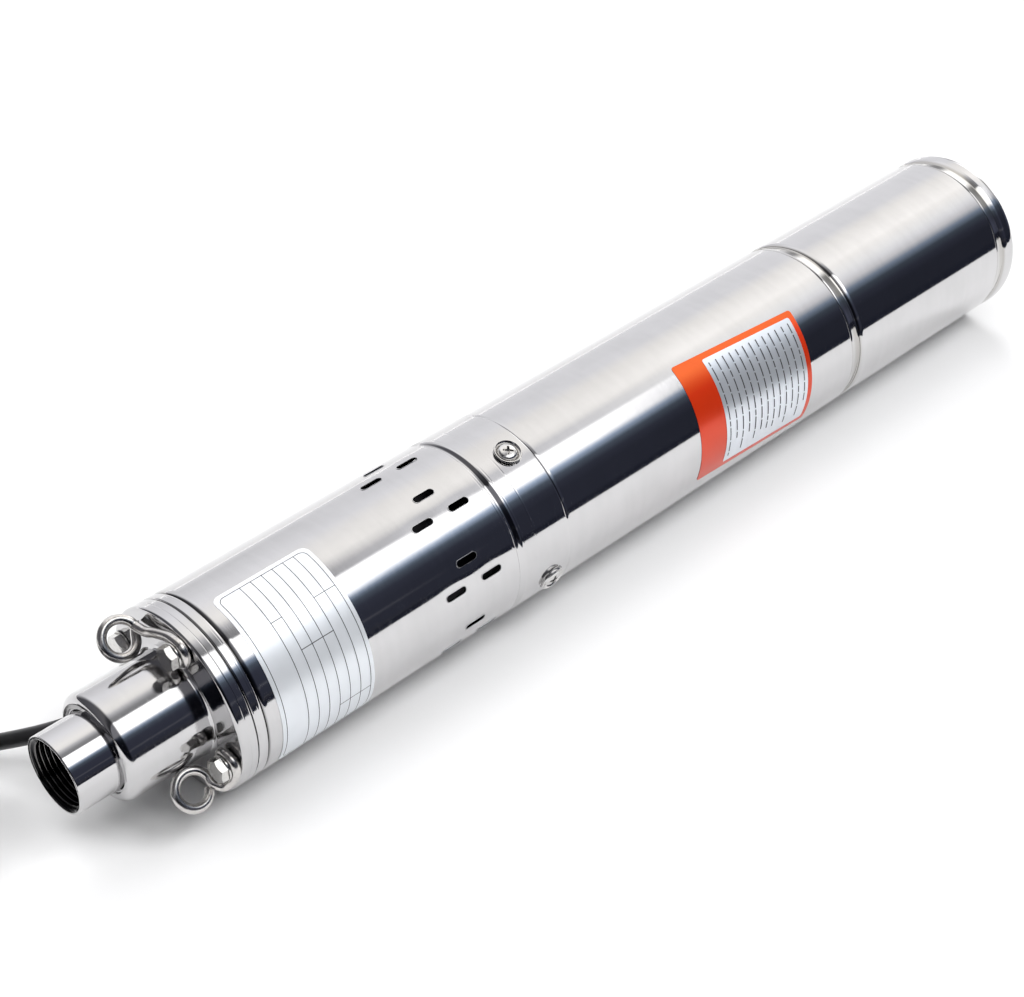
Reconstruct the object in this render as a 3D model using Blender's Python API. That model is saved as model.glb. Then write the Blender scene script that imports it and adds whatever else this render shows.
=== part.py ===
"""A 3.5-inch class submersible screw well pump, lying on its side, with its power cable.

The pump's axis is +X, from the discharge mouth to the foot, and +Z is up. A station is a distance
along the axis from the mouth. An angle about the axis is measured from straight up, towards -Y.
Sizes are in millimetres until they are placed.
"""

import math

import bmesh
import bpy
from mathutils import Matrix, Vector

# Driving dimensions, in millimetres
BODY_RADIUS = 44.0
SLEEVE_RADIUS = 44.3
WALL = 1.0
GAP = 0.3
FINE_GAP = 0.2
AROUND = 48  # sides of the large round pieces; one side lies flat on the ground

# Stations of the joints between the pieces
NECK_END = 19.0
DOME_FRONT = 20.0
FLANGE_FACE = 62.0
FLANGE_BACK = 70.4
CLAMP_BACK = 75.8
CASING_END = 220.6
MOTOR_START = 252.0
MOTOR_END = 454.9
LOWER_START = 462.0
LOWER_END = 577.5
LENGTH = 592.2

# Discharge socket: a G1 female thread
NECK_RADIUS = 18.4
THREAD_MAJOR = 16.62
THREAD_MINOR = 15.15
THREAD_PITCH = 2.309
THREAD_TURNS = 7

# Head
DOME_RADIUS = 25.3
DOME_WALL = 2.5
SHOULDER = 4.6
FLANGE_EDGE = 1.6
BOLT_CIRCLE = 37.0
BOLT_ANGLES = (14.5, 104.5, 194.5, 284.5)
BOLT_SHANK = 3.0
BOLT_HOLE = 3.35
HEX_ACROSS = 10.0
HEX_HIGH = 3.6
WASHER_RADIUS = 6.0
WASHER_THICK = 0.8
EYE_WIRE = 4.4
EYE_LOOP = 7.9
EYE_STEP = 4.8
# Each eye: bolt angle, sense, leg (station, radius, angle), plane angle, loop centre (station,
# height, side), first and last angle round the loop, and what its end does after that
UPPER_EYE = (
    14.5,
    -1,
    ((59.4, 41.5, 7.0), (59.0, 40.0, 1.0), (58.5, 38.2, -7.0), (57.9, 36.8, -15.5)),
    -48.0,
    (49.3, 34.3, 13.0),
    (8.0, 345.0),
    ((58.6, 35.2, 10.6), (59.4, 37.4, 10.5)),
)
LOWER_EYE = (
    104.5,
    1,
    ((59.3, 42.3, 110.5), (58.2, 42.0, 114.5), (56.0, 41.2, 118.5)),
    132.0,
    (45.6, 34.6, -5.5),
    (12.0, -338.0),
    (),
)

# Suction slots: eight groups of three round the casing
SLOT_STATIONS = (182.8, 193.4, 203.9)
SLOT_FIRST_ANGLE = 13.8
SLOT_GROUPS = 8
SLOT_OFFSET = 15.3
SLOT_LONG = 11.6
SLOT_WIDE = 3.4

# Joint sleeve screws
SCREW_STATION = 241.5
SCREW_ANGLES = (17.8, 107.8, 197.8, 287.8)
CUP_RADIUS = 6.5
SCREW_HEAD_RADIUS = 4.6
CUP_FLOORS = (43.2, 43.2, 41.6, 43.2)  # the third is under the pump, and sits flush
SLEEVE_START = 223.5

# Stator inside the casing, and the motor's spigot that closes its far end
STATOR_RADIUS = 29.7
SPIGOT_FRONT = 240.0

# Recessed ring behind the motor, and the foot
RING_DEPTH = 1.0
FOOT_BEAD = 583.0
FOOT_DISH = 38.0

# Labels: stations, angles, and the tilt of the second one in degrees
RATING_STATIONS = (83.0, 133.3)
RATING_ANGLES = (1.8, 122.0)
INFO_CENTRE = (382.6, 68.8)
INFO_SIZE = (81.4, 62.5)
INFO_TILT = 3.8
LABEL_LIFT = 0.12
LABEL_THICK = 0.25

# Power cable, as (station, distance behind the axis, height over the axis)
CABLE_DIAMETER = 7.6
GLAND_CIRCLE = 33.0
GLAND_ANGLE = 244.0
GLAND_NUT = 6.6
GLAND_LONG = 8.0
BOOT_LONG = 24.0
BOOT_START = 1.45
BOOT_TIP = 1.12
CABLE_ROUTE = (
    (53.7, 29.66, -14.47),
    (46.0, 29.9, -14.5),
    (38.0, 30.9, -14.7),
    (31.5, 32.6, -15.0),
    (26.4, 34.9, -15.5),
    (20.5, 39.5, -17.9),
    (15.8, 45.2, -20.9),
    (11.6, 51.4, -24.4),
    (7.5, 57.8, -27.9),
    (3.2, 64.4, -31.3),
    (-2.2, 72.0, -35.0),
    (-9.0, 79.6, -38.3),
    (-14.5, 84.5, -39.9),
    (-19.6, 88.4, -40.35),
)

# Coil: the cable's unseen length, wound with one more turn in the bottom row than in the others,
# and a plug that lies across it
COIL_ACROSS = 92.8
COIL_PITCH = 7.7
COIL_COLUMNS = 4
COIL_ROWS = 4
COIL_LIFT = 1.15
COIL_CENTRE = (-83.43, 51.83)
TIE_ANGLE = 0.0
TIE_CLEAR = 0.3
TIE_THICK = 0.8
TIE_WIDE = 8.0
TAIL_LEAVES = 75.0
TAIL_CLIMB = 45.0
TAIL_BEND = 36.0
TAIL_TURN = 110.0
TAIL_STRAIGHT = 4.0
PLUG_RADIUS = 19.0
PIN_SPACING = 19.0

# Finishes: colour and roughness
POLISHED = ((0.77, 0.77, 0.78), 0.12)
BRUSHED = ((0.72, 0.72, 0.73), 0.2)

AXIS_HEIGHT = SLEEVE_RADIUS * math.cos(math.pi / AROUND)
MM = 0.001


def to_world(station, across, up):
    """World metres from a station, a distance along +Y and a height over the pump's axis."""
    return Vector(((station - LENGTH / 2) * MM, across * MM, (up + AXIS_HEIGHT) * MM))


def polar(station, radius, angle):
    """World metres from a station, a radius and an angle in degrees from straight up."""
    turn = math.radians(angle)
    return to_world(station, -radius * math.sin(turn), radius * math.cos(turn))


def steel(name, colour, roughness, metallic=1.0):
    """A Principled material."""
    made = bpy.data.materials.new(name)
    made.use_nodes = True
    shader = made.node_tree.nodes["Principled BSDF"]
    shader.inputs["Base Color"].default_value = (*colour, 1.0)
    shader.inputs["Roughness"].default_value = roughness
    shader.inputs["Metallic"].default_value = metallic
    return made


def add_object(name, bm, material, smooth=True):
    """A mesh object from a bmesh whose points are in world metres."""
    bmesh.ops.recalc_face_normals(bm, faces=bm.faces)
    mesh = bpy.data.meshes.new(name)
    bm.to_mesh(mesh)
    bm.free()
    mesh.materials.append(material)
    if smooth:
        mesh.shade_smooth()
        mesh.set_sharp_from_angle(angle=math.radians(35))
    made = bpy.data.objects.new(name, mesh)
    bpy.context.collection.objects.link(made)
    return made


def turned(name, outline, material, around=AROUND, base=None):
    """A solid of revolution: a closed outline of (station, radius) points, spun about an axis.

    base is the matrix that carries the local axis (local X, in millimetres) into the world; by
    default it is the pump's own axis.
    """
    bm = bmesh.new()
    if base is None:
        base = Matrix.Translation(to_world(0, 0, 0)) @ Matrix.Scale(MM, 4)
    revolve(bm, outline, around, base)
    return add_object(name, bm, material)


def revolve(bm, outline, around, base):
    """Adds a closed outline of (station, radius) points, spun about the local X axis."""
    rings = []
    for station, radius in outline:
        if radius < 1e-6:
            rings.append([bm.verts.new(base @ Vector((station, 0, 0)))])
            continue
        turns = [2 * math.pi * (i + 0.5) / around for i in range(around)]
        rings.append(
            [
                bm.verts.new(base @ Vector((station, -radius * math.sin(t), -radius * math.cos(t))))
                for t in turns
            ]
        )
    for low, high in zip(rings, rings[1:] + rings[:1]):
        if len(low) == 1 and len(high) == 1:
            continue
        for i in range(around):
            j = (i + 1) % around
            corners = (
                low[i % len(low)],
                low[j % len(low)],
                high[j % len(high)],
                high[i % len(high)],
            )
            bm.faces.new(list(dict.fromkeys(corners)))


def arc(centre, radius, start, end, steps):
    """Points on an arc in the (station, radius) plane; degrees from the +station direction."""
    turns = [math.radians(start + (end - start) * i / steps) for i in range(steps + 1)]
    return [
        (centre[0] + radius * math.cos(t), centre[1] + radius * math.sin(t))
        for t in turns
    ]


def radial_frame(station, radius, angle):
    """A matrix whose local X points outwards from the pump's axis, local Y runs along the axis."""
    turn = math.radians(angle)
    out = Vector((0, -math.sin(turn), math.cos(turn)))
    along = Vector((1, 0, 0))
    side = out.cross(along)
    turned_to = Matrix((out, along, side)).transposed().to_4x4()
    place = Matrix.Translation(polar(station, radius, angle))
    return place @ turned_to @ Matrix.Scale(MM, 4)


def axial_frame(station, radius, angle, forward=-1):
    """A matrix whose local X points along the pump's axis, towards the mouth by default."""
    turn = math.radians(angle)
    out = Vector((0, -math.sin(turn), math.cos(turn)))
    along = Vector((forward, 0, 0))
    side = along.cross(out)
    turned_to = Matrix((along, out, side)).transposed().to_4x4()
    place = Matrix.Translation(polar(station, radius, angle))
    return place @ turned_to @ Matrix.Scale(MM, 4)


def prism(bm, corners, low, high, base):
    """A prism over a ring of local (y, z) corners, from local x = low to high."""
    rings = [
        [bm.verts.new(base @ Vector((x, y, z))) for y, z in corners]
        for x in (low, high)
    ]
    bm.faces.new(rings[0][::-1])
    bm.faces.new(rings[1])
    count = len(corners)
    for i in range(count):
        j = (i + 1) % count
        bm.faces.new((rings[0][i], rings[0][j], rings[1][j], rings[1][i]))


def circle(radius, sides, start=0.0):
    """Corners of a regular polygon."""
    turns = [start + 2 * math.pi * i / sides for i in range(sides)]
    return [(radius * math.cos(t), radius * math.sin(t)) for t in turns]


def cut(target, bm_tool, name):
    """Subtracts a tool from a solid, with the tool kept as a hidden cutter."""
    tool = add_object(name, bm_tool, target.data.materials[0], smooth=False)
    tool.hide_render = True
    tool.display_type = "WIRE"
    tool.hide_set(True)
    modifier = target.modifiers.new(name, "BOOLEAN")
    modifier.operation = "DIFFERENCE"
    modifier.solver = "EXACT"
    modifier.object = tool


def wire(name, points, radius, material, sides=2):
    """A round wire through world points, as a curve with a bevel and filled caps."""
    curve = bpy.data.curves.new(name, "CURVE")
    curve.dimensions = "3D"
    curve.bevel_depth = radius * MM
    curve.bevel_resolution = sides
    curve.use_fill_caps = True
    spline = curve.splines.new("POLY")
    spline.points.add(len(points) - 1)
    for slot, point in zip(spline.points, points):
        slot.co = (*point, 1.0)
    curve.materials.append(material)
    made = bpy.data.objects.new(name, curve)
    bpy.context.collection.objects.link(made)
    return made


def smooth_route(route, spacing):
    """Points about `spacing` apart, read from a smooth curve through the route's own points."""
    count = len(route)
    knots = [0.0]
    for i in range(1, count):
        knots.append(knots[-1] + math.sqrt((route[i] - route[i - 1]).length))
    slopes = []
    for i in range(count):
        low = max(i - 1, 0)
        high = min(i + 1, count - 1)
        slopes.append((route[high] - route[low]) / (knots[high] - knots[low]))
    fine = []
    for i in range(count - 1):
        span = knots[i + 1] - knots[i]
        for k in range(40):
            t = k / 40
            a = 2 * t**3 - 3 * t**2 + 1
            b = t**3 - 2 * t**2 + t
            c = -2 * t**3 + 3 * t**2
            d = t**3 - t**2
            fine.append(
                a * route[i]
                + b * span * slopes[i]
                + c * route[i + 1]
                + d * span * slopes[i + 1]
            )
    fine.append(route[-1].copy())
    total = sum((fine[i + 1] - fine[i]).length for i in range(len(fine) - 1))
    pieces = max(2, round(total / spacing))
    step = total / pieces
    read = [fine[0]]
    travelled = 0.0
    for i in range(len(fine) - 1):
        length = (fine[i + 1] - fine[i]).length
        while len(read) < pieces and travelled + length >= step * len(read) - 1e-9:
            share = (step * len(read) - travelled) / length
            read.append(fine[i].lerp(fine[i + 1], share))
        travelled += length
    read.append(fine[-1])
    return read


def make_head():
    """The threaded neck, the domed head with its flange, and the ring that it is bolted to."""
    thread = []
    for k in reversed(range(THREAD_TURNS)):
        start = 1.3 + k * THREAD_PITCH
        thread.append((start + THREAD_PITCH, THREAD_MINOR))
        thread.append((start + THREAD_PITCH / 2, THREAD_MAJOR))
    neck = [
        (0.0, NECK_RADIUS - 0.4),
        (0.4, NECK_RADIUS),
        (26.0, NECK_RADIUS),
        (26.0, THREAD_MINOR),
        *thread,
        (1.3, THREAD_MINOR),
        (0.0, THREAD_MAJOR + 0.4),
    ]
    turned("outlet_socket", neck, steel("socket_steel", *POLISHED))

    inner = DOME_RADIUS - DOME_WALL
    seat = NECK_RADIUS + GAP
    dome = [
        (22.0, seat),
        (DOME_FRONT, DOME_RADIUS - SHOULDER),
        *arc((DOME_FRONT + SHOULDER, DOME_RADIUS - SHOULDER), SHOULDER, 165, 90, 4),
        *arc((FLANGE_FACE - FLANGE_EDGE, DOME_RADIUS + FLANGE_EDGE), FLANGE_EDGE, 270, 360, 3),
        *arc((FLANGE_FACE + FLANGE_EDGE, BODY_RADIUS - FLANGE_EDGE), FLANGE_EDGE, 180, 90, 3),
        (FLANGE_BACK - 0.4, BODY_RADIUS),
        (FLANGE_BACK, BODY_RADIUS - 0.4),
        (FLANGE_BACK, inner),
        (26.3, inner),
        (26.3, seat),
    ]
    head = turned("discharge_head", dome, steel("head_steel", *POLISHED))

    front = FLANGE_BACK + GAP
    ring = [
        (front, STATOR_RADIUS + GAP),
        (front, BODY_RADIUS - 0.4),
        (front + 0.4, BODY_RADIUS),
        (CLAMP_BACK - 0.8, BODY_RADIUS),
        (CLAMP_BACK, BODY_RADIUS - WALL),
        (CLAMP_BACK, BODY_RADIUS - WALL - GAP),
        (80.0, BODY_RADIUS - WALL - GAP),
        (80.0, STATOR_RADIUS + GAP),
    ]
    clamp = turned("clamp_ring", ring, steel("clamp_steel", *POLISHED))

    for target in (head, clamp):
        holes = bmesh.new()
        for angle in BOLT_ANGLES:
            frame = axial_frame(FLANGE_FACE, BOLT_CIRCLE, angle)
            prism(holes, circle(BOLT_HOLE, 12), -20.0, 1.0, frame)
        cut(target, holes, f"{target.name}_bolt_hole_cutter")


def make_bolts():
    """Four hexagon bolts with their washers; the first two also hold the lifting eyes."""
    metal = steel("bolt_steel", *BRUSHED)
    for number, angle in enumerate(BOLT_ANGLES, start=1):
        frame = axial_frame(FLANGE_FACE, BOLT_CIRCLE, angle)
        seat = EYE_WIRE + 2 * FINE_GAP if number <= 2 else FINE_GAP
        washer = [
            (seat, BOLT_SHANK + FINE_GAP),
            (seat, WASHER_RADIUS),
            (seat + WASHER_THICK, WASHER_RADIUS),
            (seat + WASHER_THICK, BOLT_SHANK + FINE_GAP),
        ]
        turned(f"bolt_washer_{number}", washer, metal, 24, frame)
        low = seat + WASHER_THICK + FINE_GAP
        bm = bmesh.new()
        corners = circle(HEX_ACROSS / math.sqrt(3), 6, math.radians(angle))
        prism(bm, corners, low, low + HEX_HIGH, frame)
        head = add_object(f"head_bolt_{number}", bm, metal, smooth=False)
        shank = bmesh.new()
        prism(shank, circle(BOLT_SHANK, 12), -16.0, low + 1.0, frame)
        join(head, shank, f"shank_{number}")


def join(target, bm_tool, name):
    """Adds a second shape to a solid, with the tool kept as a hidden guide."""
    tool = add_object(name, bm_tool, target.data.materials[0], smooth=False)
    tool.hide_render = True
    tool.display_type = "WIRE"
    tool.hide_set(True)
    modifier = target.modifiers.new(name, "BOOLEAN")
    modifier.operation = "UNION"
    modifier.solver = "EXACT"
    modifier.object = tool


def eye_point(plane_angle, station, height, side):
    """World metres from a station, a height and a sideways offset in a tilted radial frame."""
    turn = math.radians(plane_angle)
    up = height * math.cos(turn) - side * math.sin(turn)
    front = height * math.sin(turn) + side * math.cos(turn)
    return to_world(station, -front, up)


def make_lifting_eye(name, metal, bolt_angle, way, leg, plane_angle, centre, turns, tip):
    """A wire eye: hooked round a bolt, led out in a leg, and closed in a round loop.

    way is the sense in which the wire leaves the bolt; leg is a list of (station, radius, angle);
    centre is the loop's (station, height, side); turns are the loop's first and last angle.
    """
    route = []
    hook = BOLT_SHANK + FINE_GAP + EYE_WIRE / 2
    hook_station = FLANGE_FACE - FINE_GAP - EYE_WIRE / 2
    bolt = polar(hook_station, BOLT_CIRCLE, bolt_angle)
    turn = math.radians(bolt_angle)
    out = Vector((0, -math.sin(turn), math.cos(turn)))
    round_way = Vector((0, -math.cos(turn), -math.sin(turn))) * way
    for step in range(9):
        swing = math.radians(-235 + 235 * step / 8)
        route.append(bolt + (out * math.cos(swing) + round_way * math.sin(swing)) * hook * MM)
    route += [polar(*place) for place in leg]
    first, last = turns
    steps = 14
    for step in range(steps + 1):
        share = step / steps
        turn = math.radians(first + (last - first) * share)
        route.append(
            eye_point(
                plane_angle,
                centre[0] + EYE_LOOP * math.cos(turn),
                centre[1] + EYE_LOOP * math.sin(turn),
                centre[2] - EYE_STEP * (0.5 - share) * way,
            )
        )
    route += [eye_point(plane_angle, *place) for place in tip]
    wire(name, smooth_route(route, EYE_WIRE * 0.6 * MM), EYE_WIRE / 2, metal)


def make_casing():
    """The slotted pump casing and the stator tube inside it."""
    tube = [
        (CLAMP_BACK + GAP, BODY_RADIUS - WALL),
        (CLAMP_BACK + GAP, BODY_RADIUS - 0.7),
        (CLAMP_BACK + 1.2, BODY_RADIUS),
        (CASING_END - 0.4, BODY_RADIUS),
        (CASING_END, BODY_RADIUS - 0.4),
        (CASING_END, BODY_RADIUS - WALL),
    ]
    casing = turned("pump_casing", tube, steel("casing_steel", *POLISHED))
    slots = bmesh.new()
    straight = (SLOT_LONG - SLOT_WIDE) / 2
    ends = [math.radians(-90 + 45 * i) for i in range(5)]
    rounded = [
        (straight + SLOT_WIDE / 2 * math.cos(t), SLOT_WIDE / 2 * math.sin(t)) for t in ends
    ]
    outline = rounded + [(-y, -z) for y, z in rounded]
    for group in range(SLOT_GROUPS):
        single = SLOT_FIRST_ANGLE + group * 360 / SLOT_GROUPS
        for row, station in enumerate(SLOT_STATIONS):
            angle = single if row == 1 else single + SLOT_OFFSET
            prism(slots, outline, -3.0, 3.0, radial_frame(station, BODY_RADIUS, angle))
    cut(casing, slots, "slot_cutter")

    stator = [
        (FLANGE_BACK + GAP, 0.0),
        (FLANGE_BACK + GAP, STATOR_RADIUS - 0.5),
        (FLANGE_BACK + GAP + 0.5, STATOR_RADIUS),
        (SPIGOT_FRONT - GAP, STATOR_RADIUS),
        (SPIGOT_FRONT - GAP, 0.0),
    ]
    turned("stator_tube", stator, steel("stator_steel", (0.2, 0.2, 0.2), 0.5))


def make_joint():
    """The sleeve between the pump and the motor, with its four recessed screws."""
    bore = STATOR_RADIUS + GAP
    spigot = BODY_RADIUS - WALL - GAP
    outline = [
        (216.0, bore),
        (216.0, spigot),
        (CASING_END + GAP, spigot),
        (SLEEVE_START, spigot),
        (SLEEVE_START + 1.0, SLEEVE_RADIUS - 0.7),
        (SLEEVE_START + 3.0, SLEEVE_RADIUS - 0.1),
        (SLEEVE_START + 5.0, SLEEVE_RADIUS),
        (MOTOR_START - GAP - 0.8, SLEEVE_RADIUS),
        (MOTOR_START - GAP, SLEEVE_RADIUS - 0.7),
        (MOTOR_START - GAP, bore),
    ]
    sleeve = turned("joint_sleeve", outline, steel("sleeve_steel", *POLISHED))
    recesses = bmesh.new()
    metal = steel("screw_steel", *BRUSHED)
    for number, (angle, floor) in enumerate(zip(SCREW_ANGLES, CUP_FLOORS), start=1):
        frame = radial_frame(SCREW_STATION, floor, angle)
        recess = [(-6.0, 0.0), (-6.0, 1.9), (0.0, 1.9), (0.0, CUP_RADIUS + GAP)]
        recess += [(6.0, CUP_RADIUS + GAP), (6.0, 0.0)]
        revolve(recesses, recess, 16, frame)
        cup = [
            (FINE_GAP, 1.7),
            (FINE_GAP, CUP_RADIUS - 0.8),
            (2.0, CUP_RADIUS),
            (2.6, CUP_RADIUS),
            (2.6, CUP_RADIUS - 0.5),
            (1.0, SCREW_HEAD_RADIUS),
            (1.0, 1.7),
        ]
        turned(f"screw_cup_{number}", cup, metal, 16, frame)
        screw = [
            (-5.0, 0.0),
            (-5.0, 1.5),
            (1.2, 1.5),
            (1.2, SCREW_HEAD_RADIUS - 0.1),
            (2.0, SCREW_HEAD_RADIUS),
            (2.7, SCREW_HEAD_RADIUS - 0.9),
            (3.0, SCREW_HEAD_RADIUS - 2.2),
            (3.0, 0.0),
        ]
        turned(f"sleeve_screw_{number}", screw, metal, 16, frame)
    cut(sleeve, recesses, "screw_recess_cutter")


def make_motor():
    """The motor's closed housing, the recessed ring, the lower housing and the foot."""
    edge = 0.4
    motor = [
        (SPIGOT_FRONT, 0.0),
        (SPIGOT_FRONT, STATOR_RADIUS),
        (MOTOR_START, STATOR_RADIUS),
        (MOTOR_START, BODY_RADIUS - edge),
        (MOTOR_START + edge, BODY_RADIUS),
        (MOTOR_END - edge, BODY_RADIUS),
        (MOTOR_END, BODY_RADIUS - edge),
        (MOTOR_END, 0.0),
    ]
    turned("motor_sleeve", motor, steel("motor_steel", *POLISHED))
    low = MOTOR_END + GAP
    high = LOWER_START - GAP
    depth = BODY_RADIUS - RING_DEPTH
    ring = [
        (low, 0.0),
        (low, depth - 0.9),
        (low + 1.2, depth - 0.2),
        ((low + high) / 2, depth),
        (high - 1.2, depth - 0.2),
        (high, depth - 0.9),
        (high, 0.0),
    ]
    turned("mid_ring", ring, steel("ring_steel", *POLISHED))
    lower = [
        (LOWER_START, 0.0),
        (LOWER_START, BODY_RADIUS - edge),
        (LOWER_START + edge, BODY_RADIUS),
        (LOWER_END - edge, BODY_RADIUS),
        (LOWER_END, BODY_RADIUS - edge),
        (LOWER_END, 0.0),
    ]
    turned("lower_housing", lower, steel("lower_steel", *POLISHED))
    start = LOWER_END + GAP
    foot = [
        (start, 0.0),
        (start, BODY_RADIUS - 1.6),
        (FOOT_BEAD - 1.0, BODY_RADIUS - 1.6),
        (FOOT_BEAD, BODY_RADIUS - 0.7),
        (FOOT_BEAD + 1.6, SLEEVE_RADIUS),
        (LENGTH - 2.2, SLEEVE_RADIUS),
        (LENGTH - 0.6, SLEEVE_RADIUS - 0.7),
        (LENGTH, SLEEVE_RADIUS - 2.2),
        (LENGTH, FOOT_DISH + 1.0),
        (LENGTH - 2.5, FOOT_DISH),
        (LENGTH - 2.5, 0.0),
    ]
    turned("foot_cap", foot, steel("foot_steel", *POLISHED))


def make_label(name, centre, size, tilt, corner, material):
    """A thin sticker on the round body, cut where the body's flat sides meet."""
    half_long = size[0] / 2
    half_round = size[1] / 2
    outline = []
    for sx, sy, start in ((1, 1, 0), (-1, 1, 90), (-1, -1, 180), (1, -1, 270)):
        for step in range(4):
            turn = math.radians(start + 30 * step)
            outline.append(
                (
                    sx * (half_long - corner) + corner * math.cos(turn),
                    sy * (half_round - corner) + corner * math.sin(turn),
                )
            )
    lean = math.radians(tilt)
    bm = bmesh.new()
    ring = []
    middle = math.radians(centre[1]) * BODY_RADIUS
    for along, across in outline:
        x = centre[0] + along * math.cos(lean) - across * math.sin(lean)
        y = middle + along * math.sin(lean) + across * math.cos(lean)
        ring.append(bm.verts.new((x, y, 0)))
    bm.faces.new(ring)
    side = 2 * math.pi / AROUND
    for k in range(-AROUND, AROUND):
        place = Vector((0, (k + 0.5) * side * BODY_RADIUS, 0))
        everything = bm.verts[:] + bm.edges[:] + bm.faces[:]
        bmesh.ops.bisect_plane(bm, geom=everything, plane_co=place, plane_no=(0, 1, 0))
    bmesh.ops.triangulate(bm, faces=bm.faces)
    inside = BODY_RADIUS + LABEL_LIFT
    flat = [(v, v.co.copy()) for v in bm.verts]
    made = bmesh.ops.extrude_face_region(bm, geom=bm.faces[:])
    lifted = [v for v in made["geom"] if isinstance(v, bmesh.types.BMVert)]
    for v in lifted:
        v.co = polar(v.co.x, inside + LABEL_THICK, math.degrees(v.co.y / BODY_RADIUS))
    for v, co in flat:
        v.co = polar(co.x, inside, math.degrees(co.y / BODY_RADIUS))
    return add_object(name, bm, material, smooth=False)


def make_labels():
    """The rating sticker on the casing and the framed sticker on the motor."""
    silver = steel("label_silver", (0.8, 0.81, 0.83), 0.35, 0.3)
    orange = steel("label_orange", (0.9, 0.25, 0.05), 0.4, 0.0)
    arc_long = math.radians(RATING_ANGLES[1] - RATING_ANGLES[0]) * BODY_RADIUS
    centre = (sum(RATING_STATIONS) / 2, sum(RATING_ANGLES) / 2)
    size = (RATING_STATIONS[1] - RATING_STATIONS[0], arc_long)
    make_label("rating_label", centre, size, 0.0, 4.0, silver)
    make_label("info_label", INFO_CENTRE, INFO_SIZE, INFO_TILT, 2.5, orange)


def tail_points():
    """The cable's free end: laid on top of the coil, then turned in to the plug that lies across it."""
    top = COIL_LIFT + COIL_ROWS * COIL_PITCH
    radius = COIL_ACROSS / 2 + (COIL_COLUMNS - 1) * COIL_PITCH / 2
    low = top + CABLE_DIAMETER / 2 + 0.4
    high = top + PLUG_RADIUS + 0.3
    corner = TAIL_LEAVES + TAIL_CLIMB
    points = []
    for angle in (corner - 16, corner - 8):
        turn = math.radians(angle)
        points.append((radius * math.cos(turn), radius * math.sin(turn), low))
    pivot = math.radians(corner)
    for step in range(13):
        share = step / 12
        turn = math.radians(corner + TAIL_TURN * share)
        x = (radius - TAIL_BEND) * math.cos(pivot) + TAIL_BEND * math.cos(turn)
        y = (radius - TAIL_BEND) * math.sin(pivot) + TAIL_BEND * math.sin(turn)
        points.append((x, y, low + (high - low) * share * share * (3 - 2 * share)))
    points.append((x - TAIL_STRAIGHT * math.sin(turn), y + TAIL_STRAIGHT * math.cos(turn), high))
    centre = COIL_CENTRE
    return [to_world(centre[0] + x, centre[1] + y, z - AXIS_HEIGHT) for x, y, z in points]


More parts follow.
